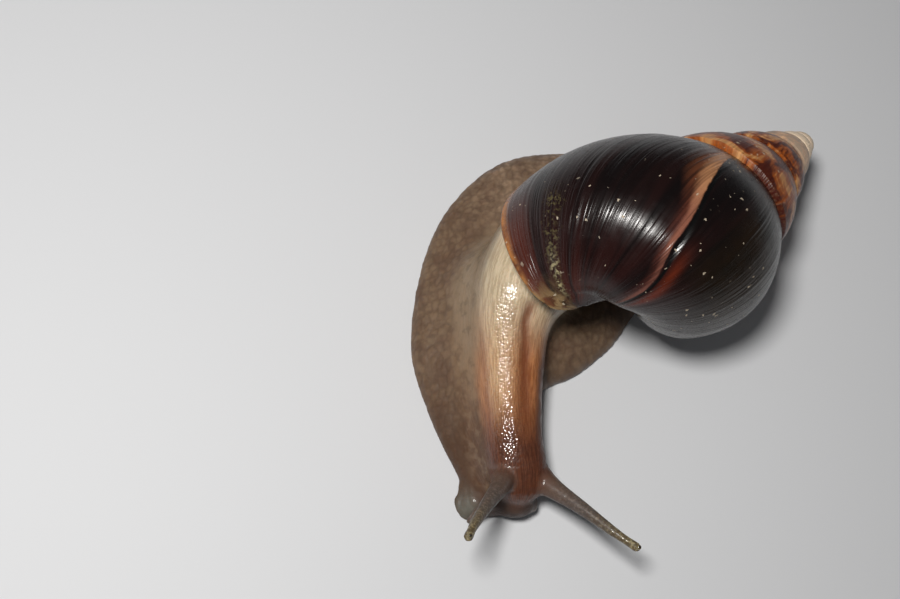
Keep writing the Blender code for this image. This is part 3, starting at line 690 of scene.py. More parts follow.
feeler_right, line_right = feeler("feeler_right", UPPER_RIGHT, UPPER_RADII, BULB)
feeler_left, line_left = feeler("feeler_left", UPPER_LEFT, UPPER_RADII, BULB)
low_right, line_low_right = feeler("feeler_low_right", LOWER_RIGHT, LOWER_RIGHT_RADII)
low_left, line_low_left = feeler("feeler_low_left", LOWER_LEFT, LOWER_LEFT_RADII)

# %% [markdown]
# ## Snout and lips
# Under the forehead the head swells into a soft round snout, with a fleshy lip on each side of the mouth.
# They are lumps laid over each other, and one more fills the gap behind the left lip. The thin flap at the
# front corner of the foot is three flat lumps. A second, finer remesh makes one skin of them, the feelers and
# the body. Last the face is smoothed once more, apart from the feelers, which would shrink.

# %% Snout, lips and flap
SKIN_CELL = 0.425 * MM
SKIN_ROUNDS, FACE_ROUNDS = 7, 45
OUT_OF_HEAD = 15

soft = [
    ball("snout", (13.2, -48.1, 5.5), (5.6, 4.1, 4.7), -8),
    ball("lip_right", (9.6, -49.0, 3.3), (2.7, 2.5, 2.6), 20),
    ball("lip_left", (15.4, -48.7, 3.6), (2.6, 2.6, 2.7), -20),
    ball("forehead", (13.6, -44.4, 9.4), (5.6, 3.0, 4.2)),
    ball("flap", (3.2, -49.4, 0.6), (2.3, 3.7, 0.75), 30),
    ball("flap_base", (5.6, -48.2, 1.0), (2.8, 3.2, 1.2), 10),
    ball("flap_root", (3.7, -45.8, 0.8), (2.1, 3.4, 1.0), 15),
    ball("lip_fill", (15.6, -46.9, 4.6), (3.2, 3.2, 3.4), -20),
]
only(body, feeler_right, feeler_left, low_right, low_left, *soft)
bpy.ops.object.join()
body = bpy.context.object
apply_modifier(body, "REMESH", mode="VOXEL", voxel_size=SKIN_CELL)
apply_modifier(body, "SMOOTH", factor=0.5, iterations=SKIN_ROUNDS)
co = points_of(body)
x_mm, y_mm, z_mm = ((co - np.array(LOOK_AT)) / MM).T
from_right = nearest(co, line_right[OUT_OF_HEAD:])[1]
from_left = nearest(co, line_left[OUT_OF_HEAD:])[1]
clear = np.minimum(from_right, from_left) / MM
face = step(-y_mm, 42.5, 45.0) * step(clear, 2.2, 4.0) * step(z_mm, 0.1, 1.0)
smooth_where(body, "face", face, FACE_ROUNDS)
report(body)

# %% [markdown]
# ## Where each point lies
# The map now gives every point of the finished wrap its numbers. Smooth masks are worked out from them once,
# and both the relief and the colours read the same masks, so that painted shade darkens a furrow exactly
# where it is deep.

# %% Masks
co = points_of(body)
co[:, 2] = np.maximum(co[:, 2], 0.0)
length, angle, radius, neck_end = neck_place(co)
x_mm, y_mm, z_mm = ((co - np.array(LOOK_AT)) / MM).T
to_front = neck_end - length
on_neck = 1 - step(radius, 1.04, 1.75)
near_head = 1 - step(to_front, 5.0, 16.0)
at_collar = 1 - step(length, 27.0, 46.0)


def feeler_share(line, reach):
    """Share of the way out along a feeler, sinking softly to 0 away from it."""
    i, d = nearest(co, line)
    share = i / (len(line) - 1)
    width = (reach - 0.55 * reach * share) * MM
    return share * (1 - step(d / width, 0.95, 1.35))


feeler_at = np.maximum(feeler_share(line_right, 4.0), feeler_share(line_left, 4.0))
low_feeler = np.maximum(feeler_share(line_low_right, 2.2), feeler_share(line_low_left, 2.2))
on_feeler = np.maximum(step(feeler_at, 0.22, 0.42), step(low_feeler, 0.35, 0.6))
snout = step(-y_mm, 46.4, 48.6) * (1 - step(np.abs(x_mm - 13.2), 6.0, 8.5)) * (1 - step(z_mm, 8.4, 11.5))
flap = np.exp(-((x_mm - 3.6) ** 2 + (y_mm + 50.0) ** 2) / 4.2 ** 2) * (1 - step(z_mm, 2.4, 4.0))
print("neck length mm:", round(float(neck_end), 1), " skin points:", len(co))

# %% [markdown]
# ## Ridges, furrows and warts
# The skin of the neck is split into long grains, and on the foot the grains are round warts in a darker net.
# Both are cell patterns: points are strewn on a jittered grid, and each place on the skin measures how much
# nearer its own point is than the next one. Where the two are equal lies the net. The grid is made of fixed
# waves, not of random draws, so the animal is the same every time.

# %% Grains and warts
def rand(i, j, k):
    x = np.sin(i * 127.1 + j * 311.7 + k * 74.7) * 43758.5453
    return x - np.floor(x)


def cells(u, v, seed):
    """Distance to the cell's border (0 on it) and a number that is the same all over one cell."""
    iu, iv = np.floor(u), np.floor(v)
    first = np.full(u.shape, 9.0)
    second = np.full(u.shape, 9.0)
    tint = np.zeros(u.shape)
    for du in (-1, 0, 1):
        for dv in (-1, 0, 1):
            a, b = iu + du, iv + dv
            d = np.hypot(a + 0.1 + 0.8 * rand(a, b, seed) - u, b + 0.1 + 0.8 * rand(a, b, seed + 5) - v)
            closer = d < first
            second = np.where(closer, first, np.minimum(second, d))
            tint = np.where(closer, rand(a, b, seed + 9), tint)
            first = np.where(closer, d, first)
    return second - first, tint


round_mm = angle * 8.0
sway = 0.5 * np.sin(0.37 * y_mm + 0.6) + 0.4 * np.sin(0.51 * x_mm)
neck_around = round_mm / 0.80 + 0.5 * np.sin(length * 0.42)
neck_along = length / 2.3 + 0.3 * np.sin(round_mm)
neck_edge, neck_tint = cells(neck_around, neck_along, 3)
head_edge, _ = cells(round_mm / 0.95, length / 1.3, 11)
foot_edge, foot_tint = cells((x_mm + sway + 0.5 * z_mm) / 1.9, (y_mm - sway - 0.4 * z_mm) / 2.2, 21)
small_edge, _ = cells((x_mm + 0.5 * z_mm) / 0.85, (y_mm + 0.4 * z_mm) / 0.9, 31)
dome_neck = step(neck_edge, 0.0, 0.45)
dome_head = step(head_edge, 0.0, 0.45)
dome_foot = step(foot_edge, 0.0, 0.55)
dome_small = step(small_edge, 0.0, 0.5)
print("share of the skin in the foot's net:", round(float((dome_foot < 0.5).mean()), 2))

# %% [markdown]
# Along the back of the neck runs a deep furrow, with a swollen ridge on each side that catches the light and
# shallow furrows further out. Each is a soft hill across the angle round the neck, which fades in at the
# collar and out at the head. The same kind of hill marks where the skin is cream, where it is wettest, and
# where one side, the brow or an end of the foot has a tone of its own. The far side's darker tone is painted
# shade, for the flank turned away from the lamp, and the brow's dark tone is partly painted shade.

# %% Furrows, ridges and fields
furrow_angle = np.interp(length, (28, 34, 44, 54, 63), (1.76, 1.68, 1.72, 1.76, 1.74))
from_furrow = angle - furrow_angle
window = step(length, 26.0, 33.0) * (1 - step(length, 52.0, 66.0))
furrow_width = 0.13 + 0.12 * step(length, 34.0, 56.0)
furrow = np.exp(-(from_furrow / furrow_width) ** 2) * window * on_neck
left_ridge = np.exp(-((from_furrow + 0.60) / 0.34) ** 2) * window * on_neck
right_ridge = np.exp(-((from_furrow - 0.42) / 0.24) ** 2) * window * on_neck
shallow = np.exp(-((from_furrow + 1.15) / 0.12) ** 2) + np.exp(-((from_furrow - 0.80) / 0.09) ** 2)
shallow = shallow * step(length, 34.0, 44.0) * (1 - step(length, 58.0, 68.0)) * on_neck
cleft = np.exp(-((x_mm - 13.4) / 0.5) ** 2) * step(-y_mm, 50.5, 51.8) * (1 - step(z_mm, 3.6, 5.2))

cream = np.exp(-((angle - 1.00) / 0.42) ** 2) * step(length, 22, 30) * (1 - step(length, 46, 65)) * on_neck
sparkle = np.exp(-((angle - 1.12) / 0.50) ** 2) * step(length, 25, 34) * (1 - step(length, 60, 72)) * on_neck
near_side = 1 - step(angle, 0.0, 0.95 - 0.40 * step(length, 36.0, 50.0))
# Marks the neck's far flank, turned away from the lamp: the darker tone laid there is painted shade.
far_side_shade = step(angle, 1.95, 2.35) * step(length, 36, 47) * on_neck
brow = 1 - step(to_front, 11.0, 26.0)
fore_foot = 1 - step(y_mm, -40.0, -12.0)
hind_foot = step(x_mm + 0.4 * y_mm, 8.0, 26.0) * step(y_mm, 5.0, 20.0)
print("points in the furrow:", int((furrow > 0.5).sum()), " on the ridge:", int((left_ridge > 0.5).sum()))

# %% [markdown]
# The relief adds them all up in millimetres and moves each point along its normal. The feelers and the lower
# rim stay as they are, and no point may sink below the floor. The masks are then stored on the mesh, under
# the names by which the skin's material will ask for them.

# %% Relief
upper = step(z_mm, 0.15, 1.2) * (1 - on_feeler)
relief = on_neck * (1 - near_head) * 0.06 * (dome_neck - 1) * (1 - 0.7 * at_collar)
relief = relief + on_neck * near_head * (1 - snout) * 0.11 * (dome_head - 1)
relief = relief + (1 - on_neck) * (0.10 * (dome_foot - 1) + 0.05 * (dome_small - 1))
relief = relief * upper * (1 - 0.8 * snout)
relief = relief - 0.52 * furrow + 0.50 * left_ridge + 0.12 * right_ridge - 0.14 * shallow
relief = relief - 0.35 * cleft
body_normals = np.empty(len(co) * 3)
body.data.vertices.foreach_get("normal", body_normals)
co = co + body_normals.reshape(-1, 3) * (relief * MM)[:, None]
co[:, 2] = np.maximum(co[:, 2], 0.0)
move_points(body, co)
foot_net = 1 - 0.75 * dome_foot - 0.25 * dome_small
net = np.where(on_neck > 0.5, 1 - np.where(near_head > 0.5, dome_head, dome_neck), foot_net) * upper
skin_masks = {
    "on_neck": on_neck, "at_collar": at_collar, "feeler_at": feeler_at, "low_feeler": low_feeler,
    "net": net, "tint": np.where(on_neck > 0.5, neck_tint, foot_tint), "cleft": cleft, "snout": snout,
    "furrow": np.maximum(furrow, 0.5 * shallow), "round_mm": round_mm, "length_mm": length, "flap": flap,
    "cream": cream, "sparkle": sparkle, "near_side": near_side, "far_side_shade": far_side_shade, "brow": brow,
    "fore_foot": fore_foot, "hind_foot": hind_foot,
}
for name, values in skin_masks.items():
    mark(body, name, values)
only(body)
bpy.ops.object.shade_smooth()
print("relief mm:", round(float(relief.min()), 2), "to", round(float(relief.max()), 2))
report(body)

# %% [markdown]
# ## Eyes
# The eye of a snail is a dark speck in the tip of each long feeler, under clear skin. It begins as a ball,
# and its outer half is drawn out a little, as the clear skin bulges over it.

# %% Eyes
DRAWN_OUT = 0.12


def eye(side):
    """A ball in the place and size of the plain model's eye, with a mask of distance from its pupil."""
    low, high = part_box("eye_" + side)
    middle = (low + high) / 2
    size = (high - low).x / 2
    deselect()
    bpy.ops.mesh.primitive_uv_sphere_add(segments=32, ring_count=20, radius=size, location=middle)
    ob = bpy.context.object
    ob.name = "eyeball_" + side
    bpy.ops.object.transform_apply(location=True, rotation=True, scale=True)
    bpy.ops.object.mode_set(mode="EDIT")
    bpy.ops.mesh.select_all(action="DESELECT")
    bpy.ops.object.mode_set(mode="OBJECT")
    for v in ob.data.vertices:
        v.select = v.co.z > middle.z + 0.7 * size
    bpy.ops.object.mode_set(mode="EDIT")
    bpy.ops.transform.translate(value=(0, 0, DRAWN_OUT * size), use_proportional_edit=True,
                                proportional_size=size)
    bpy.ops.object.mode_set(mode="OBJECT")
    bpy.ops.object.shade_smooth()
    far = np.linalg.norm(points_of(ob) - (np.array(middle) + np.array((0, 0, size))), axis=1) / size
    mark(ob, "from_pupil", far)
    report(ob)
    return ob


eyes = {side: eye(side) for side in ("left", "right")}

# %% [markdown]
# ## Building materials
# A material is a small machine of nodes, and a few helpers keep it readable. One adds a node with its
# settings and feeds; a feed is a number, a socket, or the name of a mask that the mesh carries. Others wrap
# the nodes that we need most. The last lays colours over each other like thin coats of paint, each with its
# own mask.

# %% Node helpers
def connect(tree, socket, value):
    """Feeds a socket with a number, another socket, or a mask of the mesh by its name."""
    if isinstance(value, str):
        carried = tree.nodes.new("ShaderNodeAttribute")
        carried.attribute_name = value
        value = carried.outputs["Fac"]
    if isinstance(value, bpy.types.NodeSocket):
        tree.links.new(value, socket)
    else:
        socket.default_value = value


def put(tree, kind, *feeds, **settings):
    """Adds a node; feeds are (input name or number, value)."""
    made = tree.nodes.new("ShaderNode" + kind)
    for key, value in settings.items():
        setattr(made, key, value)
    for name, value in feeds:
        connect(tree, made.inputs[name], value)
    return made


def calc(tree, how, a, b=0.0, c=0.0):
    return put(tree, "Math", (0, a), (1, b), (2, c), operation=how).outputs[0]


def times(tree, product, *others):
    for other in others:
        product = calc(tree, "MULTIPLY", product, other)
    return product


def plus(tree, total, *others):
    for other in others:
        total = calc(tree, "ADD", total, other)
    return total


def ramp(tree, value, low, high, a=0.0, b=1.0):
    """Maps value from low..high to a..b, with soft ends."""
    made = put(tree, "MapRange", (0, value), (1, low), (2, high), (3, a), (4, b),
               interpolation_type="SMOOTHSTEP")
    return made.outputs[0]


def noise(tree, vector, scale, detail=2.0, rough=0.5, distortion=0.0):
    made = put(tree, "TexNoise", ("Vector", vector), ("Scale", scale), ("Detail", detail),
               ("Roughness", rough), ("Distortion", distortion))
    return made.outputs["Fac"]


def drawn_noise(tree, vector, a, b, detail=2.0, rough=0.5, distortion=0.0):
    """Noise drawn out into fibres: the map's two directions are scaled by a and b."""
    scaled = put(tree, "Mapping", ("Vector", vector), ("Scale", (a, b, 1.0))).outputs[0]
    return noise(tree, scaled, 1.0, detail, rough, distortion)


def blend(tree, share, a, b):
    """Colour a where share is 0, colour b where it is 1."""
    a, b = ((*value, 1.0) if isinstance(value, tuple) else value for value in (a, b))
    return put(tree, "Mix", (0, share), (6, a), (7, b), data_type="RGBA").outputs[2]


def paint(tree, colour, *coats):
    """Lays coats over a colour, in order; each coat is (share, colour)."""
    for share, coat in coats:
        colour = blend(tree, share, colour, coat)
    return colour


def new_material(name):
    mat = bpy.data.materials.new(name)
    mat.use_nodes = True
    return mat, mat.node_tree, mat.node_tree.nodes["Principled BSDF"]


def finish_material(mat, bsdf, feeds, *obs):
    """Feeds the shader's sockets and gives the material to the objects."""
    for name, value in feeds.items():
        connect(mat.node_tree, bsdf.inputs[name], value)
    for ob in obs:
        ob.data.materials.clear()
        ob.data.materials.append(mat)
    print(mat.name, "nodes:", len(mat.node_tree.nodes))


# %% [markdown]
# ## Shared effects
# Both the shell and the skin carry dust-fine unevenness that breaks up their reflections. It is one group
# with two outputs, a height for Bump and a mask for roughness, and each material sets its own scale. The
# second group strews specks, the crumbs of lime on the shell. Specks are the middles of cells, of which only
# a share is kept, and the shell uses them twice, small and large.

# %% Groups: fine grain and specks
def new_group(name, feeds, gives):
    made = bpy.data.node_groups.new(name, "ShaderNodeTree")
    made.interface.new_socket("Vector", in_out="INPUT", socket_type="NodeSocketVector")
    for way, sockets in (("INPUT", feeds), ("OUTPUT", gives)):
        for socket in sockets:
            made.interface.new_socket(socket, in_out=way, socket_type="NodeSocketFloat")
    return made, made.nodes.new("NodeGroupInput").outputs, made.nodes.new("NodeGroupOutput").inputs


def use_group(tree, group, vector, **values):
    made = tree.nodes.new("ShaderNodeGroup")
    made.node_tree = group
    tree.links.new(vector, made.inputs["Vector"])
    for name, value in values.items():
        made.inputs[name].default_value = value
    return made.outputs


grain, feed, out = new_group("fine_grain", ("Scale",), ("Height", "Mask"))
connect(grain, out["Height"], noise(grain, feed["Vector"], feed["Scale"], 4.0))
wide_noise = noise(grain, feed["Vector"], times(grain, feed["Scale"], 0.22), 3.0)
connect(grain, out["Mask"], ramp(grain, wide_noise, 0.35, 0.65))

specks, feed, out = new_group("specks", ("Scale", "Share", "Size"), ("Mask",))
warp = put(specks, "TexNoise", ("Vector", feed["Vector"]), ("Scale", times(specks, feed["Scale"], 2.5)))
warp_size = calc(specks, "DIVIDE", 0.6, feed["Scale"])
warp_by = put(specks, "VectorMath", (0, warp.outputs["Color"]), ("Scale", warp_size), operation="SCALE")
warped = put(specks, "VectorMath", (0, feed["Vector"]), (1, warp_by.outputs[0]), operation="ADD").outputs[0]
spots = put(specks, "TexVoronoi", ("Vector", warped), ("Scale", feed["Scale"]))
draw = put(specks, "SeparateColor", (0, spots.outputs["Color"])).outputs
size_here = times(specks, feed["Size"], calc(specks, "MULTIPLY_ADD", draw[1], 0.9, 0.3))
core = calc(specks, "LESS_THAN", spots.outputs["Distance"], size_here)
kept = calc(specks, "LESS_THAN", draw[0], feed["Share"])
connect(specks, out["Mask"], times(specks, core, kept))
print("group nodes:", len(grain.nodes), "and", len(specks.nodes))

# %% [markdown]
# ## The shell's colour
# The last whorl is chestnut so dark that it looks black, with maroon towards the base, deep red where light
# comes through, and one pale tan streak from a pause in growth, edged with a black line. The lip is a fresh
# rim of orange horn. The spire is older, worn and lighter: orange-brown with cream flames. All of it was laid
# down along the lip, so the masks are drawn on the map of age and place that the grids brought along. The
# broad masks are worked out once for every face corner; the fine lines are left to the nodes.

# %% Shell masks
uv = np.empty(len(shell.data.loops) * 2)
shell.data.uv_layers["growth"].data.foreach_get("uv", uv)
age, across = uv.reshape(-1, 2).T
inside = (age > 0.5).astype(float)


def hill(x, middle, width):
    """1 at the middle, falling softly to 0 over a few widths."""
    return np.exp(-((x - middle) / width) ** 2)


red = hill(along_old_lip(age, across), -0.252, 0.010) * hill(across, 0.575, 0.085)
red = red + 0.35 * hill(age, -0.035, 0.022) * step(across, 0.40, 0.58)
red = red + 0.35 * hill(age, -0.14, 0.05) * hill(across, 0.74, 0.08)
base_tan = step(across, 0.66, 0.76) * (1 - step(-age, 0.05, 0.12)) * (1 - inside)
olive = step(-age, 0.30, 0.36) * (1 - step(across, 0.45, 0.62))
maroon = step(across, 0.42, 0.66) * step(age, -0.46, -0.36)
spire = step(-age, 0.88, 1.12) * (1 - inside)
apex = step(-age, 2.4, 4.2)
suture = (hill(across, 0.0, 0.014) + hill(across, SUTURE_T, 0.009) * (age < -1)) * step(-age, 0.15, 0.4)
wear = step(across, 0.56, 0.68) * (1 - step(across, 0.86, 0.97)) * step(-age, 0.37, 0.42)
wear = wear * (1 - spire) * (1 - inside)
shell_masks = {
    "red": red, "base_tan": base_tan, "olive": olive, "maroon": maroon, "spire": spire, "apex": apex,
    "suture": suture, "wear": wear, "inside": inside,
}
for name, values in shell_masks.items():
    mark(shell, name, np.clip(values, 0, 1), "CORNER")
print("shell masks:", len(shell_masks))

# %% [markdown]
# The shell is horn skin over lime, polished by slime. Its patterns are noise, drawn out along the lip by a
# map that runs up to hundreds of times faster with age than across: fine threads and finer hairs, broad
# bands, and the flames of the spire. One more, almost as fast both ways, makes edges ragged.

# %% Shell patterns
shell_mat, tree, bsdf = new_material("shell_horn")
grown = put(tree, "UVMap", uv_map="growth").outputs["UV"]
age_at, across_at = put(tree, "SeparateXYZ", (0, grown)).outputs[:2]
object_at = put(tree, "TexCoord").outputs["Object"]
threads = drawn_noise(tree, grown, 240.0, 2.2, 2.0, 0.6)
hairs = drawn_noise(tree, grown, 950.0, 7.0, 1.0)
bands = drawn_noise(tree, grown, 42.0, 1.6, 3.0, 0.55, 0.3)
flames = drawn_noise(tree, grown, 15.0, 9.0, 3.0, 0.6, 0.6)
ragged = drawn_noise(tree, grown, 30.0, 26.0, 3.0, 0.6)
uneven = calc(tree, "MULTIPLY_ADD", ragged, 0.012, -0.006)
cloud = noise(tree, object_at, 55.0, 3.0, 0.6)
print("shell patterns, nodes so far:", len(tree.nodes))

# %% [markdown]
# The tan streak follows the old lip, which is nearly a straight line on the map. It begins at a sharp edge
# and fades away from it, first the streak and then its rusty halo, and both fade out at the suture and
# towards the base. Just before the edge runs the black line.

# %% Old lip
old_lip = calc(tree, "MULTIPLY_ADD", across_at, OLD_LIP_SLANT, age_at)
old_lip = plus(tree, old_lip, ramp(tree, across_at, *OLD_LIP_BENDS, 0.0, OLD_LIP_BEND))
drift = times(tree, ramp(tree, across_at, 0.36, 0.50), ramp(tree, across_at, 0.50, 0.62, 0.004, 0.0))
ahead = plus(tree, old_lip, calc(tree, "MULTIPLY_ADD", uneven, 0.5, 0.2315))
ahead = calc(tree, "SUBTRACT", ahead, drift)
edge = ramp(tree, ahead, -0.0015, 0.0015)
fades = times(tree, ramp(tree, across_at, 0.03, 0.10), ramp(tree, across_at, 0.60, 0.74, 1.0, 0.0))
begins = times(tree, edge, fades)
ahead = calc(tree, "DIVIDE", ahead, ramp(tree, across_at, 0.24, 0.42, 1.45, 0.75))
streak = times(tree, begins, ramp(tree, ahead, 0.006, 0.0155, 1.0, 0.0),
               ramp(tree, across_at, 0.46, 0.60, 1.0, 0.55))
halo = times(tree, begins, ramp(tree, ahead, 0.010, 0.033, 1.0, 0.0))
from_black = calc(tree, "ABSOLUTE", plus(tree, old_lip, 0.2355))
black_line = times(tree, ramp(tree, from_black, 0.0010, 0.0042, 1.0, 0.0),
                   ramp(tree, across_at, 0.66, 0.78, 1.0, 0.0))
print("old lip drawn, nodes so far:", len(tree.nodes))

# %% [markdown]
# Now the horn itself. Each tone is a pair of colours mixed by one of the patterns, so nothing is flat. The
# dark whorl takes its coats one over the other, from the broad tones to the black line. The spire is painted
# apart and laid over it by age.

# %% Whorl and spire tones
dark = blend(tree, ramp(tree, bands, 0.38, 0.68), (0.0040, 0.0022, 0.0022), (0.011, 0.0038, 0.0034))
olive_horn = blend(tree, ramp(tree, cloud, 0.4, 0.65), (0.0062, 0.0042, 0.0022), (0.016, 0.0085, 0.0036))
wine = blend(tree, ramp(tree, bands, 0.32, 0.62), (0.0060, 0.0022, 0.0021), (0.020, 0.0050, 0.0042))
rust = blend(tree, ramp(tree, across_at, 0.22, 0.45), (0.150, 0.048, 0.019), (0.085, 0.024, 0.016))
tan = blend(tree, ramp(tree, across_at, 0.22, 0.42), (0.56, 0.27, 0.125), (0.25, 0.095, 0.060))
tan = blend(tree, ramp(tree, across_at, 0.46, 0.58), tan, (0.21, 0.080, 0.056))
dark = paint(
    tree, dark,
    ("olive", olive_horn),
    ("maroon", wine),
    (times(tree, "red", ramp(tree, bands, 0.34, 0.56, 0.25, 1.0)), (0.135, 0.020, 0.0062)),
    (times(tree, halo, ramp(tree, threads, 0.40, 0.62, 1.0, 0.35)), rust),
    (times(tree, streak, ramp(tree, threads, 0.42, 0.66, 1.0, 0.45)), tan),
    (black_line, (0.0025, 0.0022, 0.0022)),
)
old = blend(tree, ramp(tree, flames, 0.43, 0.54), (0.060, 0.0070, 0.0030), (0.36, 0.086, 0.012))
old = paint(
    tree, old,
    (ramp(tree, flames, 0.54, 0.62), (0.64, 0.31, 0.11)),
    (ramp(tree, threads, 0.42, 0.60, 0.35, 0.0), (0.10, 0.025, 0.010)),
    ("apex", (0.95, 0.75, 0.55)),
)
colour = blend(tree, "spire", dark, old)
print("horn painted, nodes so far:", len(tree.nodes))

# %% [markdown]
# The youngest horn, at the lip, is orange and not yet dark. Behind the rim a band of moss and a crust of soil
# have dried on. Older places are worn pale, and specks of lime lie in clusters all over the outside.

# %% Rim, crust and specks
from_rim = calc(tree, "SUBTRACT", age_at, uneven)
near_rim = times(tree, ramp(tree, from_rim, -0.040, -0.008), ramp(tree, across_at, 0.22, 0.42))
rim = times(tree, ramp(tree, from_rim, -0.017, -0.003), ramp(tree, across_at, 0.24, 0.40))
rim_horn = blend(tree, ramp(tree, across_at, 0.58, 0.78), (0.40, 0.150, 0.032), (0.19, 0.105, 0.040))
from_dirt = calc(tree, "ABSOLUTE", plus(tree, calc(tree, "MULTIPLY_ADD", uneven, 2.5, age_at), 0.095))
dirt = times(tree, ramp(tree, from_dirt, 0.002, 0.022, 1.0, 0.0), ramp(tree, across_at, 0.44, 0.52),
             ramp(tree, across_at, 0.70, 0.80, 1.0, 0.0))
moss = times(tree, dirt, ramp(tree, noise(tree, object_at, 1300.0, 4.0, 0.75), 0.51, 0.58),
             ramp(tree, noise(tree, object_at, 320.0), 0.40, 0.56, 0.15, 1.0))
crumbs = ramp(tree, noise(tree, object_at, 900.0, 3.0, 0.7), 0.47, 0.60)
crust = times(tree, calc(tree, "POWER", dirt, 2.0), ramp(tree, across_at, 0.60, 0.68), crumbs)
in_suture = ramp(tree, noise(tree, object_at, 1500.0, 3.0, 0.7), 0.50, 0.60)
scratches = ramp(tree, drawn_noise(tree, grown, 420.0, 16.0), 0.54, 0.66)
small_specks = use_group(tree, specks, object_at, Scale=480.0, Share=0.95, Size=0.15)["Mask"]
large_specks = use_group(tree, specks, object_at, Scale=190.0, Share=0.35, Size=0.056)["Mask"]
strewn = ramp(tree, noise(tree, object_at, 70.0), 0.42, 0.50)
speck = calc(tree, "MAXIMUM", times(tree, small_specks, strewn), large_specks)
speck = times(tree, speck, calc(tree, "SUBTRACT", 1.0, "inside"))
colour = paint(
    tree, colour,
    (times(tree, near_rim, ramp(tree, cloud, 0.35, 0.6, 0.25, 0.9)), (0.115, 0.024, 0.010)),
    (times(tree, rim, ramp(tree, ragged, 0.34, 0.56, 0.15, 1.0)), rim_horn),
    (times(tree, "base_tan", ramp(tree, ragged, 0.38, 0.60, 0.15, 0.9)), (0.27, 0.18, 0.085)),
    (times(tree, moss, 0.8), (0.105, 0.086, 0.028)),
    (times(tree, crust, 0.85), (0.42, 0.36, 0.19)),
    (times(tree, "suture", in_suture, 0.2), (0.34, 0.22, 0.13)),
    (times(tree, "wear", scratches, 0.55), (0.42, 0.33, 0.25)),
    ("inside", (0.56, 0.50, 0.44)),
    (times(tree, speck, 0.75), (0.56, 0.47, 0.35)),
)
print("rim and crust painted, nodes so far:", len(tree.nodes))

# %% [markdown]
# The growth lines catch the light as fine bright threads, too fine for the mesh, so they go into Bump with
# the hairs, the bands and the grit. The polish is high, and duller only on the spire, the moss and the grit.

# %% Shell finish
THREAD_DEPTH = 0.16 * MM
dust = use_group(tree, grain, object_at, Scale=1500.0)
grit = calc(tree, "MAXIMUM", crust, speck)
rough = plus(tree, ramp(tree, dust["Mask"], 0.0, 1.0, 0.23, 0.28), times(tree, "spire", 0.06),
             times(tree, grit, 0.4), times(tree, moss, 0.25))
height = plus(tree, threads, times(tree, hairs, 0.28), times(tree, bands, 0.8), times(tree, grit, 0.7),
              times(tree, dust["Height"], 0.06))
bump = put(tree, "Bump", ("Height", height), ("Strength", 1.0), ("Distance", THREAD_DEPTH))
finish_material(shell_mat, bsdf, {
    "Base Color": colour, "Roughness": rough, "Normal": bump.outputs["Normal"], "Specular IOR Level": 0.50,
}, shell)

# %% [markdown]
# ## The skin's colour
# Snail skin is clear jelly over brown grains, so light enters it and comes back warm: that is what subsurface
# scattering is for. The foot is grey-brown in soft blotches, paler at the rear, each wart paler than the net
# between. The neck is orange-brown, cream on its back and paler and greyer towards the shell, with a
# red-brown furrow, a grey-brown near side and a dark brow. The furrow's dark is partly painted shade, the
# far side is darkened with painted shade, and the brow's own red-brown is deepened with painted shade.

# %% Foot and neck tones
skin_mat, tree, bsdf = new_material("wet_skin")
object_at = put(tree, "TexCoord").outputs["Object"]
lines_at = put(tree, "CombineXYZ", (0, "round_mm"), (1, "length_mm")).outputs[0]
lines = drawn_noise(tree, lines_at, 3.2, 0.22, 2.0, 0.6)
streaks = drawn_noise(tree, lines_at, 0.9, 0.07, 2.0, 0.6)
patches = noise(tree, object_at, 150.0, 3.0, 0.6)
blots = noise(tree, object_at, 380.0, 2.0, 0.6)

foot = blend(tree, "hind_foot", (0.200, 0.130, 0.080), (0.340, 0.232, 0.152))
foot = blend(tree, ramp(tree, blots, 0.34, 0.60, 0.30, 0.95), (0.112, 0.070, 0.045), foot)
foot = paint(
    tree, foot,
    (times(tree, "tint", 0.22), (0.26, 0.190, 0.125)),
    (ramp(tree, patches, 0.42, 0.64, 0.0, 0.5), (0.112, 0.062, 0.042)),
    (times(tree, "net", 0.50), (0.080, 0.046, 0.030)),
    (times(tree, "fore_foot", 0.85), (0.078, 0.040, 0.024)),
)
cream_tone = blend(tree, ramp(tree, lines, 0.35, 0.65), (0.43, 0.255, 0.130), (0.63, 0.42, 0.24))
# The brow's tone is its own red-brown, made darker with painted shade.
brow_tone_and_shade = blend(tree, ramp(tree, lines, 0.36, 0.64), (0.056, 0.016, 0.0085), (0.122, 0.039, 0.020))
brow_tone_and_shade = blend(tree, times(tree, "net", 0.30), brow_tone_and_shade, (0.042, 0.016, 0.010))
collar_tone = blend(tree, ramp(tree, lines, 0.35, 0.65), (0.42, 0.325, 0.21), (0.60, 0.49, 0.34))
near_tone = blend(tree, ramp(tree, "length_mm", 42.0, 62.0), (0.225, 0.158, 0.098), (0.100, 0.050, 0.027))
near_tone = paint(
    tree, near_tone,
    (ramp(tree, lines, 0.35, 0.65, 0.0, 0.15), (0.30, 0.20, 0.120)),
    (ramp(tree, blots, 0.46, 0.66, 0.0, 0.45), (0.27, 0.190, 0.120)),
    (ramp(tree, blots, 0.46, 0.34, 0.0, 0.40), (0.075, 0.048, 0.030)),
)
neck = blend(tree, ramp(tree, lines, 0.36, 0.62), (0.30, 0.105, 0.034), (0.49, 0.205, 0.078))
neck = paint(
    tree, neck,
    (ramp(tree, streaks, 0.45, 0.70, 0.0, 0.4), (0.42, 0.20, 0.100)),
    (times(tree, "net", 0.20), (0.15, 0.048, 0.019)),
    ("cream", cream_tone),
    # The brow: its own dark red-brown, deepened with painted shade where the head faces down and away.
    (times(tree, "brow", 0.95), brow_tone_and_shade),
    ("at_collar", collar_tone),
    (times(tree, "near_side", 0.9), near_tone),
    # Painted shade: the neck's far flank, turned away from the lamp, is darkened.
    (times(tree, "far_side_shade", 0.85), (0.085, 0.032, 0.020)),
    # The furrow: its own red-brown, darkened with painted shade where it is deep.
    (times(tree, "furrow", 0.85), (0.150, 0.040, 0.015)),
)
print("foot and neck painted, nodes so far:", len(tree.nodes))
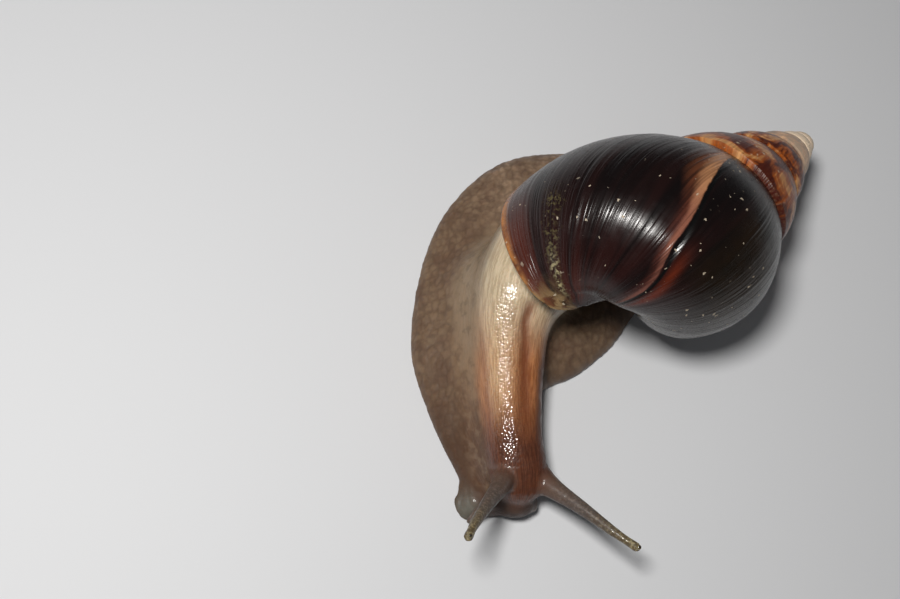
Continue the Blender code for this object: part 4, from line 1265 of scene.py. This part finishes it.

# %% [markdown]
# The snout is the darkest place: its own greenish brown, darkened with painted shade, with painted shade
# darker still in the cleft under it. The flap beside it is a cool grey. The feelers are peppered grey-brown,
# redder at the root, and olive-yellow at the tip, where the eye sits.

# %% Head and feeler tones
pepper = noise(tree, object_at, 1500.0, 3.0, 0.7)
# The snout's own greenish brown, darkened with painted shade.
snout_tone_and_shade = blend(tree, ramp(tree, patches, 0.35, 0.65), (0.038, 0.019, 0.013), (0.075, 0.040, 0.027))
feeler_tone = blend(tree, ramp(tree, pepper, 0.46, 0.66), (0.085, 0.066, 0.056), (0.160, 0.128, 0.106))
tip_tone = blend(tree, ramp(tree, pepper, 0.46, 0.62), (0.10, 0.075, 0.040), (0.27, 0.225, 0.125))
feeler_tone = blend(tree, ramp(tree, "feeler_at", 0.55, 0.90), feeler_tone, tip_tone)
past_root = calc(tree, "MAXIMUM", ramp(tree, "feeler_at", 0.22, 0.58), "low_feeler")
feeler_tone = blend(tree, past_root, (0.122, 0.072, 0.052), feeler_tone)
out_on_feeler = calc(tree, "MAXIMUM", ramp(tree, "feeler_at", 0.12, 0.45), ramp(tree, "low_feeler", 0.3, 0.7))
colour = paint(
    tree, foot,
    ("on_neck", neck),
    ("snout", snout_tone_and_shade),
    # Painted shade in the cleft under the snout.
    (times(tree, "cleft", 0.8), (0.030, 0.009, 0.007)),
    (times(tree, "flap", 0.9), (0.130, 0.125, 0.104)),
    (out_on_feeler, feeler_tone),
)
print("head painted, nodes so far:", len(tree.nodes))

# %% [markdown]
# A film of slime lies over the skin. It is the shader's coat, sharper and brighter than the skin below,
# strong on the upper side of the neck and weak elsewhere. What makes it glitter are granules, small domes in
# the one Bump that both the skin and its coat follow: each dome holds its own tiny image of the lamp.

# %% Skin finish
WET_DEPTH = 0.32 * MM
GLOW_DEPTH = 1.6 * MM
wet = use_group(tree, grain, object_at, Scale=1900.0)
granules = put(tree, "TexVoronoi", ("Vector", object_at), ("Scale", 1500.0)).outputs["Distance"]
domes = calc(tree, "SUBTRACT", 1.0, times(tree, granules, granules))
beads = times(tree, domes, calc(tree, "MULTIPLY_ADD", "sparkle", 0.58, 0.05))
combed = times(tree, lines, calc(tree, "MULTIPLY_ADD", "sparkle", -0.11, 0.16))
height = plus(tree, times(tree, wet["Height"], 0.10), combed)
height = plus(tree, times(tree, blots, 0.30), height, beads)
bump = put(tree, "Bump", ("Height", height), ("Strength", 1.0), ("Distance", WET_DEPTH)).outputs["Normal"]
sides = calc(tree, "MAXIMUM", "near_side", "far_side_shade")
shine = calc(tree, "MAXIMUM", "sparkle", times(tree, calc(tree, "SUBTRACT", "on_neck", sides), 0.3))
dry = calc(tree, "MAXIMUM", "flap", "snout")
coat = times(tree, ramp(tree, shine, 0.0, 0.9, 0.10, 1.0), calc(tree, "MULTIPLY_ADD", dry, -0.7, 1.0))
finish_material(skin_mat, bsdf, {
    "Base Color": colour, "Roughness": ramp(tree, wet["Mask"], 0.0, 1.0, 0.36, 0.54), "Normal": bump,
    "Coat Normal": bump, "Coat Weight": coat, "Coat Roughness": 0.085, "Coat IOR": 1.75,
    "Specular IOR Level": 0.24, "Subsurface Weight": 0.22, "Subsurface Radius": (1.0, 0.45, 0.25),
    "Subsurface Scale": GLOW_DEPTH,
}, body)

# %% [markdown]
# ## The eyes' colour
# Seen from outside, each eye is a small dark disc in olive-yellow jelly. The distance from the pupil, stored
# on the ball, mixes the two.

# %% Eye material
eye_mat, tree, bsdf = new_material("eye_jelly")
wave = noise(tree, put(tree, "TexCoord").outputs["Object"], 3000.0)
edge = plus(tree, "from_pupil", times(tree, wave, 0.2))
finish_material(eye_mat, bsdf, {
    "Base Color": blend(tree, ramp(tree, edge, 0.50, 0.85), (0.030, 0.024, 0.018), (0.17, 0.135, 0.060)),
    "Roughness": ramp(tree, edge, 0.5, 1.0, 0.10, 0.25), "Coat Weight": 0.8,
}, *eyes.values())

# %% [markdown]
# ## Handing over
# Each finished piece rides on the one body that there is: a snail has no joints. The solids of the plain
# model that it stands for are hidden.

# %% Finish
for piece, nodes, finish in (
    (shell, ("shell",), "shell"),
    (body, LENGTHS + ("mouth_lobe_left", "mouth_lobe_right", "tentacle_upper_left", "tentacle_upper_right",
                      "tentacle_lower_left", "tentacle_lower_right"), "neck"),
    (eyes["left"], ("eye_left",), "eye_left"),
    (eyes["right"], ("eye_right",), "eye_right"),
):
    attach(piece, "root")
    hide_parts(*nodes)
